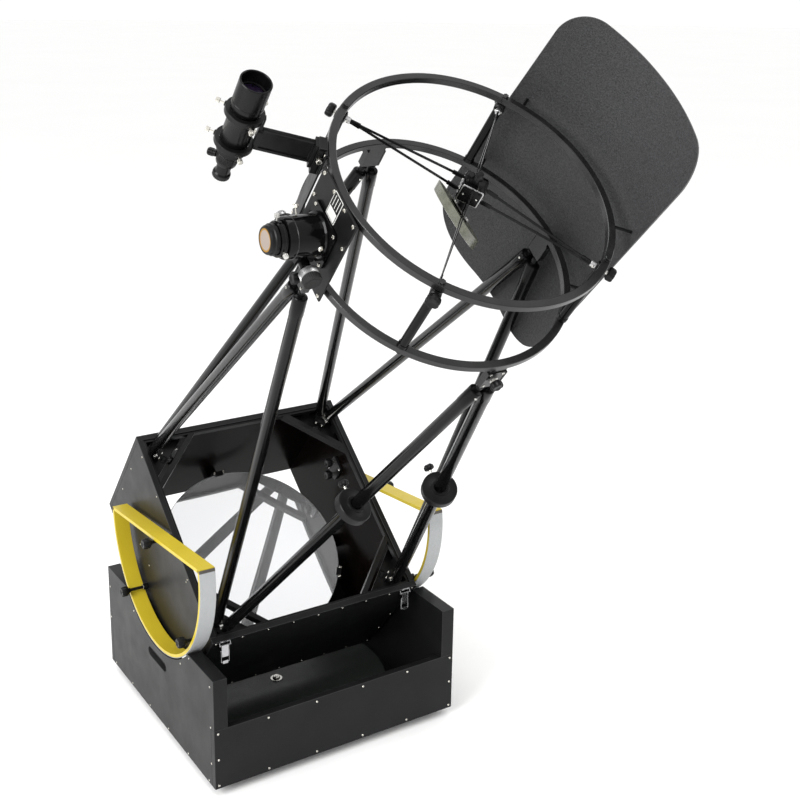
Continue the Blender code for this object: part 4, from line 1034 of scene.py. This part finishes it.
def make_focuser():
    out = outward(180, 0, FOCUS_LEVEL)
    refine("focuser_board", "powder edge", 0.0007, 2, 1)
    bm = bmesh.new()
    rows = {
        1.3085: (0.06, 0.015, -0.03, -0.068),
        1.25: (-0.069, 0.062),
        1.112: (0.06, -0.02, -0.069),
        1.18: (0.062,),
    }
    for level, places in rows.items():
        for y in places:
            screw(bm, pointing((-BOARD_FACE, y, level), (-1, 0, 0)), 0.0042)
    piece("board_screws", bm, "screw", slot="bright_steel")
    make_label()
    start = 0.3006
    bm = bmesh.new()
    prism(bm, rounded(0.096, 0.096, 0.01), start, start + 0.005, 0, out)
    for x in (-0.04, 0.04):
        for y in (-0.04, 0.04):
            screw(bm, out @ moved((x, y, start + 0.005)), 0.004, 1)
    profile = [
        (0.044, start + 0.0045), (0.044, start + 0.0095), (0.0405, start + 0.012),
        (0.04, 0.3642), (0.0409, 0.3647), (0.0409, 0.3657), (0.04, 0.3662), (0.0398, 0.378),
        (0.0382, 0.381), (0.0312, 0.3812), (0.0312, 0.37),
    ]
    mats = [0, 0, 0, 2, 2, 2, 0, 0, 0, 0, 0, 0]
    lathe(bm, profile, 64, mats, out)
    block = [(-0.05, -0.024), (-0.03, -0.028), (-0.03, 0.028), (-0.05, 0.024)]
    prism(bm, block, 0.308, 0.3472, 0, out)
    shaft = moved((-PINION_X, 0, FOCUS_LEVEL - PINION_DROP)) @ pointing((0, 0, 0), (0, 1, 0))
    rod(bm, 0.0105, -0.04, 0.04, 32, 0, shaft, 0.0015)
    for y in (-0.016, 0.016):
        spot = out @ moved((-0.0505, y, 0.33)) @ turned(-90, "Y")
        screw(bm, spot, 0.0032, 1)
    tension = out @ moved((-0.048, 0, 0.33)) @ turned(-90, "Y")
    thumbscrew(bm, tension, 0.018, 0.0058, 1)
    lock = out @ turned(52, "Z") @ pointing((0.0395, 0, 0.345), (1, 0, 0))
    thumbscrew(bm, lock, 0.02, 0.0056, 1)
    side = out @ turned(-78, "Z") @ pointing((0.0398, 0, 0.319), (1, 0, 0))
    screw(bm, side, 0.0058, 1)
    body = piece("focuser_housing", bm, "gloss screw ring", stands_for=("focuser_body",), bevel=0.0006)
    body.modifiers[0].angle_limit = radians(60)
    make_drawtube(out)
    make_focus_knobs(shaft)


def make_label():
    """A plain two-tone plate with a fine border, and no lettering."""
    place = pointing((-BOARD_FACE, -0.004, 1.286), (-1, 0, 0))
    bm = bmesh.new()
    prism(bm, rounded(0.058, 0.034, 0.002), -0.0002, 0.0005, 1, place)
    prism(bm, rounded(0.055, 0.031, 0.0015), 0.0005, 0.0007, 0, place)
    prism(bm, rounded(0.021, 0.028, 0.001), 0.0007, 0.0009, 1, place @ moved((-0.0155, 0, 0)))
    for y in (-0.0085, 0.0, 0.0085):
        bar = place @ moved((0.0115, y, 0))
        prism(bm, rounded(0.026, 0.0016, 0.0007), 0.0007, 0.0009, 1, bar)
    piece("maker_plate_blank", bm, "powder plate", slot="black_anodised")


def make_drawtube(out):
    bm = bmesh.new()
    profile = [
        (0.0255, 0.288), (0.0303, 0.288), (0.0303, 0.3827), (0.0334, 0.3831), (0.034, 0.3838),
        (0.034, 0.3866), (0.033, 0.3871), (0.033, 0.3879), (0.034, 0.3884), (0.034, 0.3925),
        (0.0322, 0.3952), (0.0262, 0.3954), (0.0255, 0.394),
    ]
    mats = [0] * 13
    mats[5] = mats[6] = mats[7] = 3
    lathe(bm, profile, 64, mats + [0, 0], out, closed=True)
    for angle in (35, 155, 275):
        spin = out @ turned(angle, "Z")
        thumbscrew(bm, spin @ pointing((0.0325, 0, 0.3905), (1, 0, 0)), 0.015, 0.005, 2)
    mats = "gloss screw steel ring"
    piece("focuser_tube", bm, mats, "drawtube", stands_for=("focuser_drawtube",), sharp=30)
    bm = bmesh.new()
    start = 0.3958
    top = 0.4138
    profile = [
        (0.024, 0.387), (0.025, 0.3885), (0.025, start), (0.0285, start),
        (0.0298, start + 0.0014), (0.0298, start + 0.008), (0.0276, start + 0.0098),
        (0.027, top - 0.003), (0.025, top - 0.0004), (0.0222, top), (0.0216, top - 0.0005),
        (0.019, top - 0.0005), (0.0186, top - 0.0008), (0.0, top - 0.0008),
    ]
    mats = [0] * 10 + [1, 1, 2] + [0, 2]
    lathe(bm, profile, 64, mats, out)
    piece("dust_cap_moulded", bm, "knob amber cream", "cap", stands_for=("dust_cap",), sharp=25)


def make_focus_knobs(shaft):
    near = 0.046
    far = 0.078
    bm = bmesh.new()
    rod(bm, 0.003, -near - 0.001, near + 0.001, 20, 1, shaft)
    for side in (-1, 1):
        way = shaft if side > 0 else shaft @ turned(180, "X")
        rod(bm, 0.012, near - 0.0005, near + 0.003, 36, 1, way, 0.0008)
        ribbed(bm, 0.0188, near + 0.002, near + 0.016, 44, 0.0009, 1, way)
        rod(bm, 0.0172, near + 0.015, near + 0.0175, 44, 2, way, 0.0006)
        ribbed(bm, 0.0186, near + 0.017, far - 0.001, 30, 0.0007, 2, way)
        rod(bm, 0.0135, far - 0.002, far, 36, 2, way, 0.0006)
    piece("coarse_focus_knobs", bm, "powder ribbed rubber", "coarse_knob", stands_for=("focus_shaft",))
    bm = bmesh.new()
    rod(bm, 0.0026, far + 0.0003, far + 0.003, 16, 0, shaft)
    rod(bm, 0.0085, far + 0.002, far + 0.0036, 32, 0, shaft, 0.0004)
    ribbed(bm, 0.0113, far + 0.0035, far + 0.013, 28, 0.0007, 0, shaft)
    rod(bm, 0.007, far + 0.0125, far + 0.0139, 32, 0, shaft, 0.0004)
    piece("fine_focus_knurl", bm, "ribbed", "fine_knob", stands_for=("fine_focus_knob",))


# Finder


def make_finder():
    refine("finder_plate", "powder edge", 0.0007, 2, 1)
    place = outward(FINDER_ANGLE)
    far = 0.3
    bm = bmesh.new()
    for u, v in ((1.112, -0.018), (1.112, 0.018), (1.309, -0.018), (1.309, 0.018)):
        screw(bm, place @ moved((u, v, far)), 0.0034, 1)
    for u in (1.266, 1.312):
        screw(bm, place @ moved((u, 0, far + 0.014)), 0.0034, 1)
    clamp = place @ pointing((1.3, -0.015, far + 0.008), (0, -1, 0))
    thumbscrew(bm, clamp, 0.016, 0.0056, 1)
    for y in (-0.018, 0.0135):
        slab(bm, (1.26, y, far + 0.004), (1.318, y + 0.0045, far + 0.014), 0, place)
    piece("finder_shoe_fixings", bm, "powder screw", slot="black_anodised", bevel=0.0006)
    make_finder_bracket(place)
    make_finder_tube()


def make_finder_bracket(place):
    start = 0.3143
    end = FINDER_AXIS - 0.034
    bm = bmesh.new()
    low, high = 1.272, 1.32
    slab(bm, (low, -0.004, start), (high, 0.004, end), 0, place)
    for edge in (low, high - 0.006):
        slab(bm, (edge, -0.0062, start), (edge + 0.006, 0.0062, end), 0, place)
    for edge in (start, end - 0.01):
        slab(bm, (low, -0.0062, edge), (high, 0.0062, edge + 0.01), 0, place)
    slab(bm, (low - 0.006, -0.013, start), (high + 0.002, 0.013, start + 0.0065), 0, place)
    bottom, top = FINDER_LEVELS
    slab(bm, (bottom, -0.0056, end - 0.006), (top, 0.0056, end + 0.0008), 0, place)
    centre = moved(polar(FINDER_AXIS, FINDER_ANGLE))
    for level in FINDER_LEVELS:
        profile = [
            (0.0282, level - 0.0055), (0.0362, level - 0.0055), (0.037, level - 0.0047),
            (0.037, level + 0.0047), (0.0362, level + 0.0055), (0.0282, level + 0.0055),
        ]
        lathe(bm, profile, 56, 0, centre, closed=True)
        for angle in (140, 262, 22):
            spin = centre @ turned(angle, "Z")
            out = spin @ pointing((0.0345, 0, level), (1, 0, 0))
            rod(bm, 0.0052, 0, 0.0045, 18, 0, out)
            thumbscrew(bm, out, 0.021, 0.005, 1)
            rod(bm, 0.0016, -0.008, 0.001, 10, 1, out)
    piece("finder_bracket_cast", bm, "powder screw", stands_for=("finder_bracket",), bevel=0.0007)


def make_finder_tube():
    centre = moved(polar(FINDER_AXIS, FINDER_ANGLE))
    low = FINDER_BOTTOM
    high = FINDER_TOP
    profile = [
        (0.009, low + 0.001), (0.0148, low), (0.0164, low + 0.002), (0.0165, low + 0.011),
        (0.014, low + 0.014), (0.0138, low + 0.034), (0.019, low + 0.0375), (0.02, low + 0.04),
        (0.02, low + 0.06), (0.0225, low + 0.064), (0.0272, low + 0.07),
        (0.0275, high - 0.064), (0.0295, high - 0.06), (0.03, high - 0.0585),
        (0.03, high - 0.05), (0.0294, high - 0.0492), (0.0294, high - 0.048),
        (0.03, high - 0.0472), (0.03, high - 0.0012), (0.0292, high), (0.0273, high),
        (0.0266, high - 0.0008), (0.0262, high - 0.03), (0.0254, high - 0.0304),
    ]
    mats = [0] * (len(profile) + 1)
    mats[-2] = 1
    mats[-1] = 1
    bm = bmesh.new()
    lathe(bm, profile, 64, mats, centre)
    dome = [(LENS_RADIUS, high - 0.03)]
    for i in range(1, 7):
        r = LENS_RADIUS * (1 - i / 6)
        dome.append((r, high - 0.03 + 0.0035 * (1 - (r / LENS_RADIUS) ** 2)))
    lathe(bm, [(LENS_RADIUS, high - 0.031)] + dome, 56, 1, centre)
    near, far = high - 0.0255, high - 0.0285
    lathe(bm, [(0.026, far), (0.0262, near), (0.0242, near), (0.0246, far)], 56, 2, centre, closed=True)
    ribbed(bm, 0.0172, low + 0.001, low + 0.0105, 30, 0.0006, 2, centre)
    ribbed(bm, 0.0206, low + 0.044, low + 0.056, 40, 0.0006, 0, centre)
    out = centre @ turned(135, "Z") @ pointing((0.015, 0, low + 0.047), (1, 0, -0.25))
    rod(bm, 0.0048, 0.0, 0.01, 24, 0, out)
    rod(bm, 0.007, 0.006, 0.024, 28, 0, out, 0.0012)
    ribbed(bm, 0.0078, 0.012, 0.022, 20, 0.0006, 0, out)
    piece("finder_scope", bm, "black lens rubber", stands_for=("finder_tube",), sharp=30)


# Light shield


def corner_cut(corner, gap):
    inside = max(corner - gap, 0)
    return corner - sqrt(max(corner**2 - inside**2, 0))


def shield_grid():
    """Angles across the sheet, each with the cuts that round its lower and upper corners."""
    widest = max(SHIELD_TOP_CORNER, SHIELD_BOTTOM_CORNER)
    flat = SHIELD_HALF_ANGLE - degrees(widest / SHIELD_RADIUS)
    columns = []
    for i in range(23):
        gap = widest * (1 - cos(radians(90 * i / 22)))
        angle = SHIELD_HALF_ANGLE - degrees(gap / SHIELD_RADIUS)
        columns.append((angle, corner_cut(SHIELD_BOTTOM_CORNER, gap), corner_cut(SHIELD_TOP_CORNER, gap)))
    columns += [(flat * (1 - i / 14), 0.0, 0.0) for i in range(1, 15)]
    columns += [(-a, low, high) for a, low, high in reversed(columns[:-1])]
    return columns


def shield_matrix():
    """From the sheet's own cylinder to the tube: it leans outwards and sits slightly askew."""
    hinge = Vector((SHIELD_RADIUS, 0, LOWER_RING_TOP))
    lean = moved(hinge) @ turned(SHIELD_LEAN, "Y")
    lean = moved((SHIELD_OFFSET, 0, 0)) @ lean @ moved(-hinge)
    shift = turned(SHIELD_SHIFT, "Z")
    pivot = moved((0, 0, SHIELD_SKEW_LEVEL))
    skew = pivot @ turned(SHIELD_SKEW, "X") @ pivot.inverted()
    return skew @ shift @ lean


def shield_fixing(angle, level):
    """The point of the sheet's outer face that lies at one height on the optical axis."""
    matrix = shield_matrix()
    outer = SHIELD_RADIUS + SHIELD_THICK
    own = level
    for _ in range(4):
        point = matrix @ polar(outer, angle, own)
        own += level - point.z
    return point


def make_shield():
    lean = shield_matrix()
    bm = bmesh.new()
    edge = 0.0007
    columns = shield_grid()
    rows = 8
    layers = []
    for radius, inset in ((SHIELD_RADIUS, edge), (SHIELD_RADIUS + SHIELD_THICK, edge)):
        grid = []
        for angle, low_cut, high_cut in columns:
            low = SHIELD_BOTTOM + low_cut + inset
            high = SHIELD_TOP - high_cut - inset
            line = []
            for row in range(rows + 1):
                z = low + (high - low) * row / rows
                line.append(bm.verts.new(polar(radius, angle, z)))
            grid.append(line)
        layers.append(grid)
    inner, outer = layers
    for grid in layers:
        for first, second in zip(grid, grid[1:]):
            for row in range(rows):
                bm.faces.new((first[row], second[row], second[row + 1], first[row + 1]))
    rim_in = border(inner)
    rim_out = border(outer)
    middle = []
    for low, high in zip(rim_in, rim_out):
        point = (low.co + high.co) / 2
        spin = atan2(point.y, point.x)
        level = (SHIELD_TOP + SHIELD_BOTTOM) / 2
        half = radians(SHIELD_HALF_ANGLE)
        away = Vector((-sin(spin) * spin / half, cos(spin) * spin / half, (point.z - level) / 0.36))
        middle.append(bm.verts.new(point + away.normalized() * edge))
    count = len(middle)
    for i in range(count):
        j = (i + 1) % count
        bm.faces.new((rim_in[i], rim_in[j], middle[j], middle[i])).material_index = 1
        bm.faces.new((middle[i], middle[j], rim_out[j], rim_out[i])).material_index = 1
    piece("light_shield_sheet", bm, "shield shield_edge", "tube", TUBE @ lean, ("light_shield",), sharp=60)
    make_shield_pins(lean.to_3x3())


def make_shield_pins(facing):
    """Four pins from the rings to the sheet, each with a washer and a screw outside."""
    bm = bmesh.new()
    for angle in (-SHIELD_PIN_ANGLE, SHIELD_PIN_ANGLE):
        normal = facing @ polar(1, angle)
        for level in (LOWER_RING_TOP - RING_HEIGHT / 2, UPPER_RING_TOP - RING_HEIGHT / 2):
            point = shield_fixing(angle, level)
            out = pointing(point, normal)
            rod(bm, 0.008, -0.0005, 0.001, 28, 1, out)
            screw(bm, out @ moved((0, 0, 0.001)), 0.005, 1)
            spin = degrees(atan2(point.y, point.x))
            inside = outward(spin, RING_RADIUS - 0.0006, level)
            reach = sqrt(point.x**2 + point.y**2) - SHIELD_THICK
            rod(bm, 0.0032, 0, reach - RING_RADIUS, 20, 0, inside)
    piece("shield_fixings", bm, "knob screw", slot="bright_steel")


def border(grid):
    """The vertices round a grid, in order."""
    bottom = [line[0] for line in grid]
    right = grid[-1][1:]
    top = [line[-1] for line in reversed(grid[:-1])]
    left = grid[0][-2:0:-1]
    return bottom + list(right) + top + list(left)


# Counterweights


def make_weights():
    ends = pole_ends()
    for name, number, (foot, top), share in (
        ("left", 1, ends[6], WEIGHT_PLACES[0]),
        ("right", 2, ends[7], WEIGHT_PLACES[1]),
    ):
        centre = top + (foot - top) * share
        axis = (top - foot).normalized()
        back = (Vector((0, 1, 0)) - axis * axis.y).normalized()
        place = pointing(centre, axis)
        profile = [
            (0.0145, -0.013), (0.0385, -0.013), (0.041, -0.0105), (0.041, 0.0065),
            (0.0398, 0.0085), (0.0225, 0.0092), (0.0211, 0.01), (0.0205, 0.0124),
            (0.019, 0.013), (0.0145, 0.013),
        ]
        bm = bmesh.new()
        lathe(bm, profile, 72, 0, place, closed=True)
        collar = pointing(centre, back)
        rod(bm, 0.007, 0.035, 0.0415, 24, 0, collar)
        disc = f"counterweight_{number}"
        piece(f"weight_disc_{name}", bm, "powder", f"weight_{name}", stands_for=(disc,), sharp=28)
        bm = bmesh.new()
        rod(bm, 0.003, 0.0417, 0.053, 16, 1, collar)
        rod(bm, 0.006, 0.05, 0.054, 20, 0, collar)
        lobed(bm, 0.0122, 0.052, 0.063, 5, 0.22, 0, collar)
        knob = f"counterweight_knob_{number}"
        piece(f"weight_knob_{name}", bm, "knob steel", f"weight_knob_{name}", stands_for=(knob,))


# Stage


def link_object(name, data):
    obj = bpy.data.objects.new(name, data)
    bpy.context.scene.collection.objects.link(obj)
    return obj


def make_floor():
    bm = bmesh.new()
    steps = 96
    loft(bm, [circle(0.02, 0, steps), circle(4, 0, steps), circle(60, 0, steps)], 0, caps=False)
    bm.faces.new(bm.verts[:steps])
    mesh = bpy.data.meshes.new("studio_floor")
    bmesh.ops.recalc_face_normals(bm, faces=bm.faces)
    bm.to_mesh(mesh)
    bm.free()
    mesh.materials.append(make_floor_paint())
    floor = link_object("studio_floor", mesh)


def add_area(name, target, offset, size, power):
    light = bpy.data.lights.new(name, "AREA")
    light.shape = "RECTANGLE"
    light.size = size[0]
    light.size_y = size[1]
    light.energy = power
    lamp = link_object(name, light)
    lamp.location = Vector(target) + Vector(offset)
    lamp.rotation_euler = (-Vector(offset)).to_track_quat("-Z", "Y").to_euler()


def make_light():
    world = bpy.data.worlds.new("studio_world")
    bpy.context.scene.world = world
    world.use_nodes = True
    shade = world.node_tree.nodes["Background"]
    shade.inputs["Color"].default_value = (1.0, 1.0, 1.0, 1)
    shade.inputs["Strength"].default_value = 1.04
    target = (0, 0, 0.9)
    add_area("key_light", target, (-4.0, -1.1, 1.9), (2.4, 2.4), 200)
    add_area("top_light", target, (-0.4, 0.6, 3.8), (2.6, 2.6), 50)
    add_area("fill_light", target, (3.4, -2.0, 1.6), (1.6, 2.4), 15)
    bpy.context.scene.view_settings.view_transform = "Standard"


def make_camera():
    """The viewing position, turned 32 degrees to the right of +Y and 15 degrees down."""
    yaw, pitch, roll = (radians(a) for a in (31.923, 14.834, 0.549))
    ahead = Vector((sin(yaw) * cos(pitch), cos(yaw) * cos(pitch), -sin(pitch)))
    right = Vector((cos(yaw), -sin(yaw), 0))
    up = right.cross(ahead)
    right, up = cos(roll) * right + sin(roll) * up, -sin(roll) * right + cos(roll) * up
    turn = Matrix((right, up, -ahead)).transposed().to_4x4()
    data = bpy.data.cameras.new("camera")
    data.sensor_width = 36
    data.lens = 55.786
    data.shift_x = 0.0376
    data.shift_y = -0.1122
    data.clip_end = 300
    camera = link_object("camera", data)
    place = CENTRE + Vector((-1.4008, -2.7185, PANEL_LOW + 1.8726))
    camera.matrix_world = moved(place) @ turn
    bpy.context.scene.camera = camera


make_camera()
make_ground()
make_rocker()
make_bearings()
make_mirror_box()
make_latches()
make_primary()
make_poles()
make_rings()
make_posts()
make_spider()
make_secondary()
make_focuser()
make_finder()
make_shield()
make_weights()
make_floor()
make_light()
